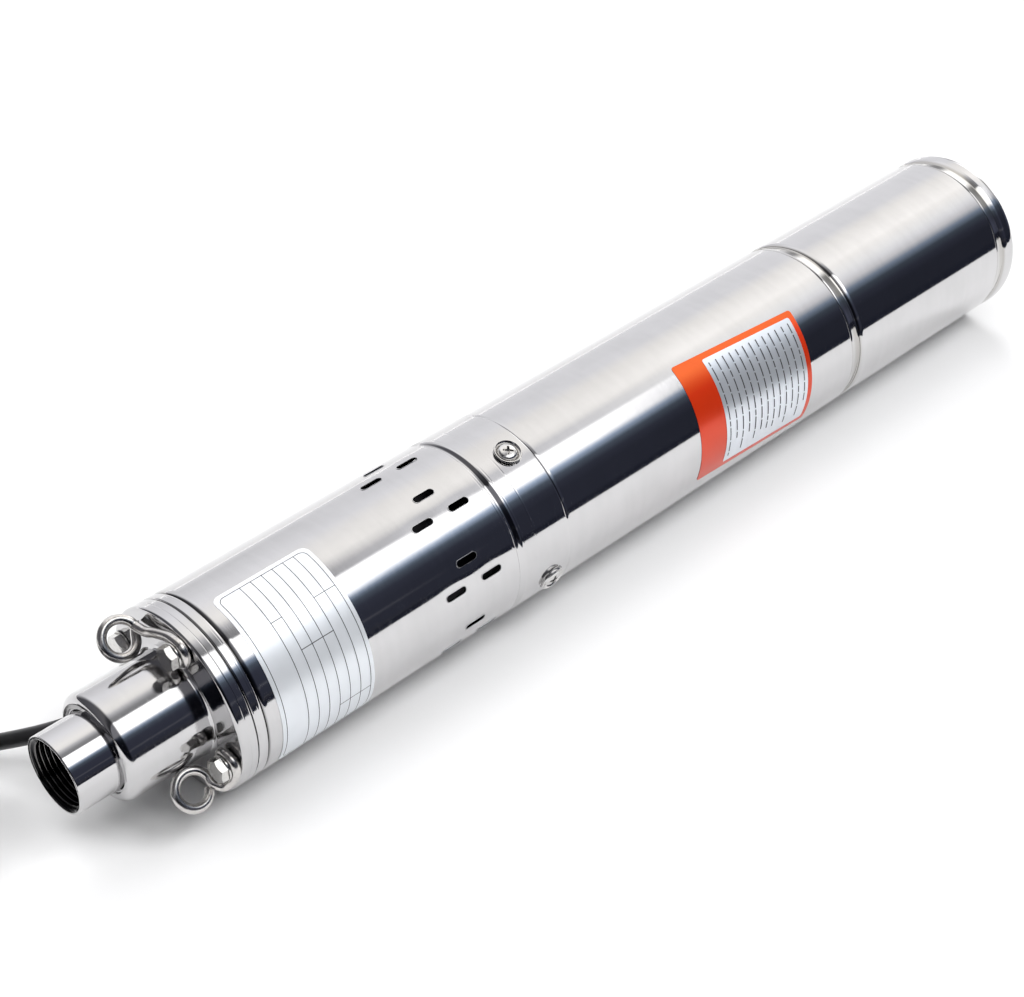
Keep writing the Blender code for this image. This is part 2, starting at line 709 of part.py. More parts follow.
def make_cable():
    """The gland, its boot, the cable to the coil, the coil with its tie, and the plug."""
    rubber = steel("cable_rubber", (0.015, 0.015, 0.017), 0.45, 0.0)
    brass = steel("pin_brass", (0.75, 0.68, 0.5), 0.25)
    gland_frame = axial_frame(FLANGE_FACE, GLAND_CIRCLE, GLAND_ANGLE)
    gland = [
        (GAP, 0.0),
        (GAP, GLAND_NUT),
        (GLAND_LONG - 1.5, GLAND_NUT),
        (GLAND_LONG, GLAND_NUT - 1.2),
        (GLAND_LONG, 0.0),
    ]
    turned("cable_gland", gland, rubber, 24, gland_frame)

    route = smooth_route([to_world(*place) for place in CABLE_ROUTE], CABLE_DIAMETER * 0.5 * MM)
    lengths = [0.0]
    for i in range(1, len(route)):
        lengths.append(lengths[-1] + (route[i] - route[i - 1]).length)
    split = next(i for i, length in enumerate(lengths) if length > BOOT_LONG * MM)
    boot = wire("cable_boot", route[: split + 1], CABLE_DIAMETER / 2, rubber)
    for i, point in enumerate(boot.data.splines[0].points):
        point.radius = BOOT_START + (BOOT_TIP - BOOT_START) * i / split
    onward = (route[split] - route[split - 1]).normalized() * MM
    start = [route[split] + onward * GAP, route[split] + onward * 1.2]
    wire("power_cable", start + route[split + 1 :], CABLE_DIAMETER / 2, rubber)

    floor = Matrix.Rotation(math.radians(-90), 4, "Y")
    base = Matrix.Translation(to_world(*COIL_CENTRE, -AXIS_HEIGHT)) @ floor @ Matrix.Scale(MM, 4)
    thick = COIL_COLUMNS * COIL_PITCH
    inside = COIL_ACROSS / 2 - thick / 2
    outside = COIL_ACROSS / 2 + thick / 2
    top = COIL_LIFT + COIL_ROWS * COIL_PITCH
    bevel = COIL_PITCH * 0.3
    foot = outside + COIL_PITCH
    foot_top = COIL_LIFT + COIL_PITCH
    ring = [
        (COIL_LIFT, inside + bevel),
        (COIL_LIFT, foot - bevel),
        (COIL_LIFT + bevel, foot),
        (foot_top - bevel, foot),
        (foot_top, foot - bevel),
        (foot_top, outside),
        (top - bevel, outside),
        (top, outside - bevel),
        (top, inside + bevel),
        (top - bevel, inside),
        (COIL_LIFT + bevel, inside),
    ]
    turned("cable_coil", ring, rubber, 36, base)

    tie = bmesh.new()
    turn = Matrix.Rotation(math.radians(TIE_ANGLE), 4, "Z")
    place = Matrix.Translation(to_world(*COIL_CENTRE, -AXIS_HEIGHT)) @ turn @ Matrix.Scale(MM, 4)
    rings = []
    for lift in (TIE_CLEAR, TIE_CLEAR + TIE_THICK):
        rings.append(
            [
                (inside - 0.5 - lift, COIL_LIFT - lift),
                (foot + lift, COIL_LIFT - lift),
                (foot + lift, foot_top + lift),
                (outside + lift, top + lift),
                (inside - 0.5 - lift, top + lift),
            ]
        )
    band = []
    for ring_corners in rings:
        for y in (-TIE_WIDE / 2, TIE_WIDE / 2):
            band.append([tie.verts.new(place @ Vector((x, y, z))) for x, z in ring_corners])
    for i in range(5):
        j = (i + 1) % 5
        tie.faces.new((band[0][i], band[0][j], band[1][j], band[1][i]))
        tie.faces.new((band[2][i], band[2][j], band[3][j], band[3][i]))
        tie.faces.new((band[0][i], band[0][j], band[2][j], band[2][i]))
        tie.faces.new((band[1][i], band[1][j], band[3][j], band[3][i]))
    add_object("coil_tie", tie, rubber, smooth=False)

    tail_route = tail_points()
    wire("cable_tail", smooth_route(tail_route, CABLE_DIAMETER * MM), CABLE_DIAMETER / 2, rubber)
    heading = (tail_route[-1] - tail_route[-2]).normalized()
    side = Vector((0, 0, 1)).cross(heading)
    axes = Matrix((heading, side, Vector((0, 0, 1)))).transposed().to_4x4()
    start = Matrix.Translation(tail_route[-1] + heading * GAP * MM)
    plug_frame = start @ axes @ Matrix.Scale(MM, 4)
    plug = [
        (0.0, 0.0),
        (0.0, 5.4),
        (22.0, 7.6),
        (26.0, 12.0),
        (33.0, 15.0),
        (42.0, 17.0),
        (46.0, PLUG_RADIUS),
        (62.0, PLUG_RADIUS),
        (64.0, PLUG_RADIUS - 1.2),
        (64.0, 0.0),
    ]
    turned("plug_body", plug, rubber, 24, plug_frame)
    for number, offset in ((1, -PIN_SPACING / 2), (2, PIN_SPACING / 2)):
        pin = bmesh.new()
        corners = [(y + offset, z) for y, z in circle(2.4, 12)]
        prism(pin, corners, 64.0 + FINE_GAP, 64.0 + 19.0, plug_frame)
        add_object(f"plug_pin_{number}", pin, brass, smooth=False)


def main():
    for thing in list(bpy.data.objects):
        bpy.data.objects.remove(thing)
    make_head()
    make_bolts()
    eye_metal = steel("eye_steel", *BRUSHED)
    make_lifting_eye("lifting_eye_upper", eye_metal, *UPPER_EYE)
    make_lifting_eye("lifting_eye_lower", eye_metal, *LOWER_EYE)
    make_casing()
    make_joint()
    make_motor()
    make_labels()
    make_cable()


main()
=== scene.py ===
"""Finish, cable, studio and camera for the submersible well pump.

Stations run along the pump's axis from the discharge mouth, in millimetres, as in the solid model.
An angle about the axis is in degrees from straight up, towards -Y, the side with the labels.
"""

from math import atan2, ceil, cos, degrees, floor, hypot, pi, radians, sin, sqrt, tan

import bmesh
import bpy
from mathutils import Matrix, Vector


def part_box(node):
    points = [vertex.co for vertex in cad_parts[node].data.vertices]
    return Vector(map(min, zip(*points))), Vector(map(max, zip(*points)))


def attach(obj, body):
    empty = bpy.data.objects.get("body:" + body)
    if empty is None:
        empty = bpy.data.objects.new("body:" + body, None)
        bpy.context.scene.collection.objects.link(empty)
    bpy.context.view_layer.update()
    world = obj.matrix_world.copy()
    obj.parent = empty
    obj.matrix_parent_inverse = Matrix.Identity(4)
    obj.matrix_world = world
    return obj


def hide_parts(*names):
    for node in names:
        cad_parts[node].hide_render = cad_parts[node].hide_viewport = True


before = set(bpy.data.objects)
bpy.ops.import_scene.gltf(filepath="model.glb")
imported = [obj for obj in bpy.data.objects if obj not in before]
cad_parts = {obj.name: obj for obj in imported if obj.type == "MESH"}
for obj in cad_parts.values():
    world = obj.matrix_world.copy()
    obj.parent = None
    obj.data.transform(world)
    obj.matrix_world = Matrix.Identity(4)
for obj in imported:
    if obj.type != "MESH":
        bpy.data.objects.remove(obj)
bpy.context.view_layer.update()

MM = 0.001
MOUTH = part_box("outlet_socket")[0].x
AXIS_HEIGHT = (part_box("lower_housing")[0].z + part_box("lower_housing")[1].z) / 2
ALONG = Vector((1, 0, 0))
UP = Vector((0, 0, 1))

# Round forms, in millimetres
BODY_RADIUS = 44.0
SLEEVE_RADIUS = 44.21
WALL = 1.0
SPIGOT_RADIUS = BODY_RADIUS - WALL - 0.3
SPIGOT_BORE = 30.0
CORE_RADIUS = 29.7
NECK_RADIUS = 18.4
NECK_LIP = 0.55
DOME_RADIUS = 25.3
DOME_BORE = 22.8
DOME_FRONT = 20.0
SHOULDER = 4.6
FLANGE_FACE = 62.0
FLANGE_EDGE = 1.6
FOOT_BEAD = 583.0
AROUND = 192
SMALL_AROUND = 48

# Pipe thread
THREAD_MAJOR = 16.62
THREAD_MINOR = 15.15
THREAD_PITCH = 2.309
THREAD_END = 19.5
ROWS_PER_PITCH = 12

# Bolts and lifting eyes
BOLT_CIRCLE = 37.0
BOLT_ANGLES = (14.5, 104.5, 194.5, 284.5)
BOLT_SHANK = 3.0
BOLT_END = -16.0
HEX_ACROSS = 10.0
HEX_HIGH = 3.6
WASHER_RADIUS = 6.0
WASHER_THICK = 0.8
FINE_GAP = 0.2
EYE_WIRE = 4.4
EYE_LOOP = 7.9
EYE_RISE = 4.8
EYE_STEPS = 14
UPPER_EYE = dict(
    bolt_angle=14.5,
    way=-1,
    leg=((59.4, 41.5, 7.0), (59.0, 40.0, 1.0), (58.5, 38.2, -7.0), (57.9, 36.8, -15.5)),
    plane_angle=-48.0,
    centre=(49.3, 34.3, 13.0),
    turns=(8.0, 345.0),
    tip=((58.6, 35.2, 10.6), (59.4, 37.4, 10.5)),
)
LOWER_EYE = dict(
    bolt_angle=104.5,
    way=1,
    leg=((59.3, 42.3, 110.5), (58.2, 42.0, 114.5), (56.0, 41.2, 118.5)),
    plane_angle=132.0,
    centre=(45.6, 34.6, -5.5),
    turns=(12.0, -338.0),
    tip=(),
)

# Suction slots
SLOT_STATIONS = (182.8, 193.4, 203.9)
SLOT_FIRST_ANGLE = 13.8
SLOT_GROUPS = 8
SLOT_OFFSET = 15.3
SLOT_LONG = 11.6
SLOT_WIDE = 3.4
SLOT_BEAD = 0.24
DENT_DEPTH = 0.13
DENT_REACH = (8.0, 4.6)

# Joint sleeve screws
SCREW_STATION = 241.5
SCREW_ANGLES = (17.8, 107.8, 197.8, 287.8)
CUP_FLOORS = (43.2, 43.2, 41.6, 43.2)
CUP_RADIUS = 6.5
CUP_BORE = 1.7
SCREW_HEAD_RADIUS = 4.6
SCREW_SHANK = 1.5

# Labels
RATING_STATIONS = (83.0, 133.3)
RATING_ANGLES = (1.8, 122.0)
INFO_CENTRE = (382.6, 68.8)
INFO_SIZE = (81.4, 62.5)
INFO_TILT = 3.8
LABEL_LIFT = 0.14
PRINT_LIFT = 0.19
OVERPRINT_LIFT = 0.23
SHEET_STEP = 1.6

# Power cable: (station, distance behind the axis, height over the axis)
CABLE_DIAMETER = 7.6
CABLE_ROUTE = (
    (53.7, 29.66, -14.47),
    (46.0, 29.9, -14.5),
    (38.0, 30.9, -14.7),
    (31.5, 32.6, -15.0),
    (26.4, 34.9, -15.5),
    (20.5, 39.5, -17.9),
    (15.8, 45.2, -20.9),
    (11.6, 51.4, -24.4),
    (7.5, 57.8, -27.9),
    (3.2, 64.4, -31.3),
    (-2.2, 72.0, -35.0),
    (-9.0, 79.6, -38.3),
    (-14.5, 84.5, -39.9),
    (-20.2, 88.8, -40.35),
    (-27.0, 93.3, -40.1),
    (-36.5, 99.5, -39.5),
)
BOOT_LONG = 24.0
BOOT_RIBS = 6
COIL_CENTRE = (-83.43, 51.83)
COIL_ACROSS = 92.8
COIL_PITCH = 7.7
COIL_COLUMNS = 4
COIL_ROWS = 4
COIL_LIFT = 1.15
COIL_START = 57.3
STEP_SHARE = 0.36
TAIL_LEAVES = 75.0
TAIL_CLIMB = 45.0
TAIL_BEND = 36.0
TAIL_TURN = 110.0
TAIL_STRAIGHT = 4.0
PLUG_RADIUS = 19.0
PLUG_LONG = 64.0
PIN_SPACING = 19.0
PIN_RADIUS = 2.4

# Tints
STEEL = (0.585, 0.58, 0.585)
# Grime and painted shade: near black where the steel lies below the skin, at the head's joints and
# in the slots' walls
JOINT_GRIME_AND_SHADE = (0.11, 0.108, 0.105)
# Painted shade: the mid ring's and the foot's grooves are tinted darker and browner
GROOVE_SHADE = (0.44, 0.428, 0.41)
RUBBER = (0.012, 0.012, 0.013)
WHITE = (1.0, 1.0, 1.0)
COOL = (0.98, 0.98, 1.01)
WARM = (1.02, 1.0, 0.97)
EMBER = (1.1, 1.0, 0.95)
DUSK = (0.78, 0.97, 1.28)
NIGHT = (0.88, 0.97, 1.45)

# Studio, with lengths in metres
FLOOR_HALF = 14.0
RAMP_PEAK = 5.0
STUDIO_STRENGTH = 6.15
LAMP_SIZE = 1.4

# Camera: its place, the way it looks, and its lens on a 36 mm sensor
CAMERA_PLACE = Vector((-0.58308, -0.56168, 0.67837))
CAMERA_HEADING = atan2(0.718, 0.696)
CAMERA_PITCH = radians(39.08)
CAMERA_LENS = 75.6


def to_world(along, across, up):
    """World metres from a station, a distance along +Y and a height over the axis."""
    return Vector((MOUTH + along * MM, across * MM, AXIS_HEIGHT + up * MM))


def outward(angle):
    """The direction away from the axis at an angle."""
    turn = radians(angle)
    return Vector((0, -sin(turn), cos(turn)))


def polar(along, radius, angle):
    """World metres from a station, a radius and an angle."""
    return to_world(along, 0, 0) + outward(angle) * radius * MM


def span(node):
    """The stations at which a solid of the frame starts and ends."""
    low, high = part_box(node)
    return (low.x - MOUTH) / MM, (high.x - MOUTH) / MM


def local_frame(place, first, second):
    """A frame in millimetres, with its X and Y along the given directions."""
    axes = Matrix((first, second, first.cross(second))).transposed().to_4x4()
    return Matrix.Translation(place) @ axes @ Matrix.Scale(MM, 4)


def radial_frame(along, radius, angle):
    """A frame whose X points away from the axis, and whose Y runs along it."""
    return local_frame(polar(along, radius, angle), outward(angle), ALONG)


MOUTH_FRAME = Matrix.Translation(to_world(0, 0, 0)) @ Matrix.Scale(MM, 4)


def smoothstep(share):
    """A share from 0 to 1, eased at both ends."""
    return share * share * (3 - 2 * share)


def shade(tint, share):
    """A darker or brighter copy of a tint."""
    return tuple(c * share for c in tint)


# Materials


class Nodes:
    """Short calls for the node tree of a material or of the world."""

    def __init__(self, owner, bare=False):
        owner.use_nodes = True
        self.owner = owner
        self.tree = owner.node_tree
        if bare:
            self.tree.nodes.clear()
        else:
            self.shader = self.tree.nodes["Principled BSDF"]

    def put(self, node, name, value):
        """Sets or links an input, named, or i and its place; a colour is a tuple of three."""
        key = int(name[1:]) if name[1:].isdigit() else name.replace("_", " ")
        if isinstance(value, bpy.types.NodeSocket):
            self.tree.links.new(value, node.inputs[key])
        else:
            node.inputs[key].default_value = (*value, 1.0) if isinstance(value, tuple) else value

    def add(self, kind, **inputs):
        node = self.tree.nodes.new(kind)
        for name, value in inputs.items():
            self.put(node, name, value)
        return node

    def math(self, operation, *values):
        node = self.add("ShaderNodeMath")
        node.operation = operation
        for index, value in enumerate(values):
            self.put(node, f"i{index}", value)
        return node.outputs[0]

    def plus(self, first, second):
        return self.math("ADD", first, second)

    def times(self, first, second):
        return self.math("MULTIPLY", first, second)

    def band(self, value, low, high, start=0.0, end=1.0, smooth=False):
        """Goes from start to end while the value goes from low to high."""
        node = self.add("ShaderNodeMapRange", Value=value, From_Min=low, From_Max=high)
        self.put(node, "To Min", start)
        self.put(node, "To Max", end)
        if smooth:
            node.interpolation_type = "SMOOTHSTEP"
        return node.outputs[0]

    def noise(self, vector, scale, detail=3.0, rough=0.5):
        inputs = dict(Vector=vector, Scale=scale, Detail=detail, Roughness=rough)
        return self.add("ShaderNodeTexNoise", **inputs).outputs["Fac"]

    def mix(self, share, first, second, kind="MIX"):
        node = self.add("ShaderNodeMix")
        node.data_type = "RGBA"
        node.blend_type = kind
        for place, value in (("i0", share), ("i6", first), ("i7", second)):
            self.put(node, place, value)
        return node.outputs[2]

    def spot(self):
        """The point in the frame, in metres."""
        return self.add("ShaderNodeTexCoord").outputs["Object"]

    def about_axis(self):
        """The point's x, and its angle and radius about the axis."""
        x, y, z = self.add("ShaderNodeSeparateXYZ", Vector=self.spot()).outputs
        up = self.math("SUBTRACT", z, AXIS_HEIGHT)
        angle = self.math("ARCTAN2", self.times(y, -1.0), up)
        squares = self.plus(self.math("POWER", y, 2.0), self.math("POWER", up, 2.0))
        return x, angle, self.math("SQRT", squares)

    def streaks(self, x, angle, along, around, detail=4.0, rough=0.65):
        """Noise stretched round the axis: cells per metre along it, per radian round it."""
        y, z = (self.times(self.math(kind, angle), around) for kind in ("SINE", "COSINE"))
        joined = self.add("ShaderNodeCombineXYZ", X=self.times(x, along), Y=y, Z=z)
        return self.noise(joined.outputs[0], 1.0, detail, rough)

    def ramp(self, value, *runs):
        """Light by the degrees about the axis: 0 overhead, 90 in front, -90 behind.

        Each run holds angles with their levels, and ends with the tint that they share.
        """
        node = self.add("ShaderNodeValToRGB", Fac=value)
        elements = node.color_ramp.elements
        elements.remove(elements[1])
        stops = [(angle, level, tint) for *run, tint in runs for angle, level in run]
        for k, (angle, level, tint) in enumerate(stops):
            place = (angle + 180) / 360
            element = elements.new(place) if k else elements[0]
            element.position = place
            element.color = (*(level * c / RAMP_PEAK for c in tint), 1.0)
        return node.outputs[0]

    def bump(self, height, strength, distance):
        node = self.add("ShaderNodeBump", Strength=strength, Distance=distance, Height=height)
        self.put(self.shader, "Normal", node.outputs[0])

    def finish(self, **inputs):
        for name, value in inputs.items():
            self.put(self.shader, name, value)
        return self.owner


def new_material(name, bare=False):
    """The nodes of a new material."""
    return Nodes(bpy.data.materials.new(name), bare)


def glowing(name, tint):
    """A material that gives off one even colour."""
    n = new_material(name, bare=True)
    emission = n.add("ShaderNodeEmission", Color=tint)
    n.add("ShaderNodeOutputMaterial", Surface=emission.outputs[0])
    return n.owner


def turned_steel(name, gloss=0.05, streak=0.1, seed=0.0, grime_and_shade_tint=None, dented=False):
    """Polished stainless steel with faint rubbing marks that run round the body.

    Where it lies below the skin, in the joints, grooves and the slots' walls, a dark tint takes
    over: grime and painted shade.
    Dented steel sinks a little round each punched slot.
    """
    n = new_material(name)
    x, angle, radius = n.about_axis()
    shifted = n.plus(x, seed)
    fine = n.streaks(shifted, angle, 2600.0, 9.0)
    cloud = n.streaks(shifted, angle, 55.0, 2.6, 3.0, 0.55)
    smear = n.streaks(shifted, angle, 240.0, 1.3, 2.0, 0.5)
    haze = n.band(n.plus(cloud, n.times(smear, 0.6)), 0.62, 0.98)
    colour = n.mix(haze, STEEL, shade(STEEL, 0.95))
    if grime_and_shade_tint:
        # Grime and painted shade: the dark tint takes over below the skin, in grooves and slot
        # walls
        deep = n.band(radius, (BODY_RADIUS - 0.8) * MM, (BODY_RADIUS - 0.3) * MM, 1.0, 0.0)
        colour = n.mix(deep, colour, grime_and_shade_tint)
    rubbed = n.streaks(shifted, angle, 800.0, 6.0, 5.0, 0.7)
    rough = n.plus(gloss, n.times(n.band(rubbed, 0.48, 0.8), streak))
    height = n.times(fine, 0.01 * MM)
    if dented:
        height = n.math("SUBTRACT", height, n.times(slot_dents(n, x, angle), DENT_DEPTH * MM))
    n.bump(height, 1.0, 1.0)
    return n.finish(Base_Color=colour, Metallic=1.0, Roughness=rough)


def slot_dents(n, x, angle):
    """How near a point is to the middle of a slot, from 0 to 1."""
    total = 0.0
    reach = 2 * pi * BODY_RADIUS / SLOT_GROUPS / DENT_REACH[1]
    for row, along in enumerate(SLOT_STATIONS):
        first = radians(SLOT_FIRST_ANGLE + (0.0 if row == 1 else SLOT_OFFSET))
        groups = n.times(n.math("SUBTRACT", angle, first), SLOT_GROUPS / (2 * pi))
        around = n.math("SUBTRACT", n.math("FRACT", n.plus(groups, 100.5)), 0.5)
        ahead = n.math("DIVIDE", n.math("SUBTRACT", x, MOUTH + along * MM), DENT_REACH[0] * MM)
        far = n.plus(n.math("POWER", ahead, 2.0), n.math("POWER", n.times(around, reach), 2.0))
        total = n.plus(n.math("EXPONENT", n.times(far, -1.0)), total)
    return total


def wire_steel(name, tint, gloss):
    """Bright drawn wire and fastener steel, with a little dirt in the texture."""
    n = new_material(name)
    grain = n.noise(n.spot(), 900.0, 4.0, 0.6)
    colour = n.mix(n.band(grain, 0.45, 0.75), tint, shade(tint, 0.78))
    n.bump(grain, 0.12, 0.2 * MM)
    rough = n.plus(gloss, n.times(grain, 0.1))
    return n.finish(Base_Color=colour, Metallic=1.0, Roughness=rough)


def socket_steel():
    """The neck: polished outside, with a bore tinted dark and a thread whose roots are near black,
    as oil and painted shade, while its crests stay bright.
    """
    n = new_material("socket_steel")
    x, angle, radius = n.about_axis()
    fine = n.streaks(x, angle, 2600.0, 9.0)
    depth = n.band(radius, (THREAD_MINOR + 0.25) * MM, (THREAD_MINOR + 0.75) * MM)
    inside = n.math("LESS_THAN", radius, (THREAD_MAJOR + 0.1) * MM)
    bore = n.math("LESS_THAN", radius, (THREAD_MAJOR + 0.6) * MM)
    # Painted shade: the bore is darker than the outside
    skin = n.mix(bore, STEEL, (0.15, 0.147, 0.145))
    # Oil and painted shade: the thread's roots are near black
    colour = n.mix(n.times(depth, inside), skin, (0.02, 0.02, 0.022))
    n.bump(fine, 0.04, 0.2 * MM)
    rough = n.plus(n.times(bore, 0.1), n.band(fine, 0.35, 0.75, 0.05, 0.1))
    return n.finish(Base_Color=colour, Metallic=1.0, Roughness=rough)


def dull_steel():
    """The stator's dull skin behind the slots, tinted near black as painted shade."""
    n = new_material("stator_steel")
    x, angle, _ = n.about_axis()
    grain = n.streaks(x, angle, 700.0, 5.0, rough=0.5)
    # Painted shade: near black, with a faint grain
    colour = n.mix(grain, (0.05, 0.05, 0.055), (0.11, 0.11, 0.12))
    return n.finish(Base_Color=colour, Metallic=1.0, Roughness=n.band(grain, 0.0, 1.0, 0.4, 0.6))


def foil(name, tint, metallic, gloss, upper=None, lower=None):
    """Printed foil, slightly uneven; its upper part may take a yellower tint as painted light, its
    lower part a darker one as painted shade.
    """
    n = new_material(name)
    spot = n.spot()
    _, angle, _ = n.about_axis()
    colour = tint
    # Painted light: yellower towards the top, where the light falls
    if upper:
        colour = n.mix(n.band(angle, radians(34.0), radians(46.0)), upper, colour)
    # Painted shade: darker towards the bottom
    if lower:
        colour = n.mix(n.band(angle, radians(60.0), radians(72.0)), colour, lower)
    cloud = n.band(n.noise(spot, 60.0), 0.3, 0.75)
    colour = n.mix(cloud, colour, shade(WHITE, 0.94), "MULTIPLY")
    n.bump(n.noise(spot, 2500.0, 2.0), 0.04, 0.1 * MM)
    coat = dict(Coat_Weight=0.25, Coat_Roughness=0.12)
    return n.finish(Base_Color=colour, Metallic=metallic, Roughness=gloss, **coat)


def rubber(name, gloss=0.36):
    """Black cable sheath with a fine moulded skin."""
    n = new_material(name)
    spot = n.spot()
    skin = n.noise(spot, 1400.0, 4.0, 0.6)
    worn = n.band(n.noise(spot, 70.0), 0.45, 0.8)
    n.bump(skin, 0.12, 0.2 * MM)
    rough = n.plus(gloss, n.times(n.math("SUBTRACT", skin, 0.5), 0.15))
    colour = n.mix(worn, RUBBER, shade(RUBBER, 1.8))
    return n.finish(Base_Color=colour, Metallic=0.0, Roughness=rough)


# Mesh building


def show(name, data):
    """A new object in the scene with the given data."""
    made = bpy.data.objects.new(name, data)
    bpy.context.scene.collection.objects.link(made)
    return made


def smooth_object(name, bm, materials):
    """A smoothly shaded object from a bmesh in world metres."""
    mesh = bpy.data.meshes.new(name)
    bm.to_mesh(mesh)
    bm.free()
    for material in materials:
        mesh.materials.append(material)
    mesh.shade_smooth()
    return show(name, mesh)


def finish_mesh(name, bm, material, smooth_angle=35.0):
    """An object from a bmesh, closed up, with its sharper edges kept."""
    bmesh.ops.remove_doubles(bm, verts=bm.verts, dist=1e-7)
    bmesh.ops.recalc_face_normals(bm, faces=bm.faces)
    made = smooth_object(name, bm, [material])
    made.data.set_sharp_from_angle(angle=radians(smooth_angle))
    return made


def settle(piece, slot, *nodes):
    """Joins a piece to the pump's body in place of the solids it stands for."""
    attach(piece, "root")
    if nodes:
        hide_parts(*nodes)
    return piece


def spun(along, radius, turn):
    """A point turned about the local X axis, by whole turns from straight down."""
    return Vector((along, -radius * sin(2 * pi * turn), -radius * cos(2 * pi * turn)))


def tube(bm, rings, closed=False):
    """Adds faces between rings of points; a ring may be one point on the axis."""
    around = max(len(ring) for ring in rings)
    following = rings[1:] + (rings[:1] if closed else [])
    for low, high in zip(rings, following):
        if len(low) == len(high) == 1:
            continue
        for i in range(around):
            places = ((low, i), (low, i + 1), (high, i + 1), (high, i))
            corners = [ring[k % around % len(ring)] for ring, k in places]
            bm.faces.new(list(dict.fromkeys(corners)))


def revolve(bm, outline, around, base, closed=True):
    """Adds an outline of (station, radius) points, spun about the local X axis."""
    rings = []
    for along, radius in outline:
        turns = [(i + 0.5) / around for i in range(around if radius > 1e-6 else 1)]
        rings.append([bm.verts.new(base @ spun(along, radius, turn)) for turn in turns])
    tube(bm, rings, closed)


def arc(centre, radius, start, end, steps=6):
    """Points on an arc in the (station, radius) plane; degrees from the +station direction."""
    turns = [radians(start + (end - start) * i / steps) for i in range(steps + 1)]
    return [(centre[0] + radius * cos(t), centre[1] + radius * sin(t)) for t in turns]


def near(along, radius, *offsets):
    """Outline points given by their offsets from a station and a radius."""
    return [(along + ahead, radius + out) for ahead, out in offsets]


def rounded(points, radii, steps=4):
    """An outline with a round of the given radius at each corner, 0 for a sharp one."""
    made = []
    for i, (corner, radius) in enumerate(zip(points, radii)):
        if radius == 0:
            made.append(corner)
            continue
        here = Vector(corner)
        back = (Vector(points[i - 1]) - here).normalized()
        ahead = (Vector(points[(i + 1) % len(points)]) - here).normalized()
        half = back.angle(ahead) / 2
        centre = here + (back + ahead).normalized() * radius / sin(half)
        start = here + back * radius / tan(half) - centre
        sweep = pi - 2 * half if ahead.cross(back) > 0 else 2 * half - pi
        turns = [Matrix.Rotation(sweep * k / steps, 2) for k in range(steps + 1)]
        made += [tuple(centre + turn @ start) for turn in turns]
    return made


def supported(outline, reach=0.12):
    """The outline with points added near the ends of long lines, which then shade as straight."""
    made = []
    for start, end in zip(outline, outline[1:] + outline[:1]):
        made.append(start)
        line = Vector(end) - Vector(start)
        if line.length > 8 * reach:
            step = line.normalized() * reach
            made += [(start[0] + step.x, start[1] + step.y), (end[0] - step.x, end[1] - step.y)]
    return made


def turned(name, outline, material, slot, node, around=AROUND, base=MOUTH_FRAME):
    """A solid of revolution in place of a node of the frame."""
    bm = bmesh.new()
    revolve(bm, supported(outline), around, base)
    return settle(finish_mesh(name, bm, material), slot, node)


def circle(radius, sides, start=0.0):
    """The corners of a regular shape with this many sides."""
    turns = [start + 2 * pi * i / sides for i in range(sides)]
    return [(radius * cos(t), radius * sin(t)) for t in turns]


def with_opposite(half):
    """Half an outline, and the same half turned by 180 degrees."""
    return half + [(-y, -z) for y, z in half]


def prism(bm, corners, low, high, base):
    """Adds a prism over a ring of local (y, z) corners, from local x = low to high."""
    rings = [[bm.verts.new(base @ Vector((x, y, z))) for y, z in corners] for x in (low, high)]
    bm.faces.new(rings[0][::-1])
    bm.faces.new(rings[1])
    tube(bm, rings)


def shade_round(piece):
    """Gives the outer skin of a cut tube the exact normals of its cylinder."""
    mesh = piece.data
    normals = [Vector((0, 0, 0))] * len(mesh.loops)
    for face in mesh.polygons:
        out = Vector((0, face.center.y, face.center.z - AXIS_HEIGHT))
        if out.length < (BODY_RADIUS - 0.4) * MM or face.normal.dot(out.normalized()) < 0.9995:
            continue
        for loop in face.loop_indices:
            spot = mesh.vertices[mesh.loops[loop].vertex_index].co
            normals[loop] = Vector((0, spot.y, spot.z - AXIS_HEIGHT)).normalized()
    mesh.normals_split_custom_set(normals)


def subtract(piece, cutter):
    """Cuts the shapes in a bmesh out of a piece for good."""
    bmesh.ops.recalc_face_normals(cutter, faces=cutter.faces)
    tool = smooth_object("cutter", cutter, [])
    modifier = piece.modifiers.new("cut", "BOOLEAN")
    modifier.operation = "DIFFERENCE"
    modifier.solver = "EXACT"
    modifier.object = tool
    graph = bpy.context.evaluated_depsgraph_get()
    result = bpy.data.meshes.new_from_object(piece.evaluated_get(graph))
    piece.modifiers.clear()
    used = (piece.data, tool.data)
    piece.data = result
    bpy.data.objects.remove(tool)
    for mesh in used:
        bpy.data.meshes.remove(mesh)
    result.shade_smooth()
    result.set_sharp_from_angle(angle=radians(35))


def route_length(route):
    """The length of a line through points."""
    return sum((b - a).length for a, b in zip(route, route[1:]))


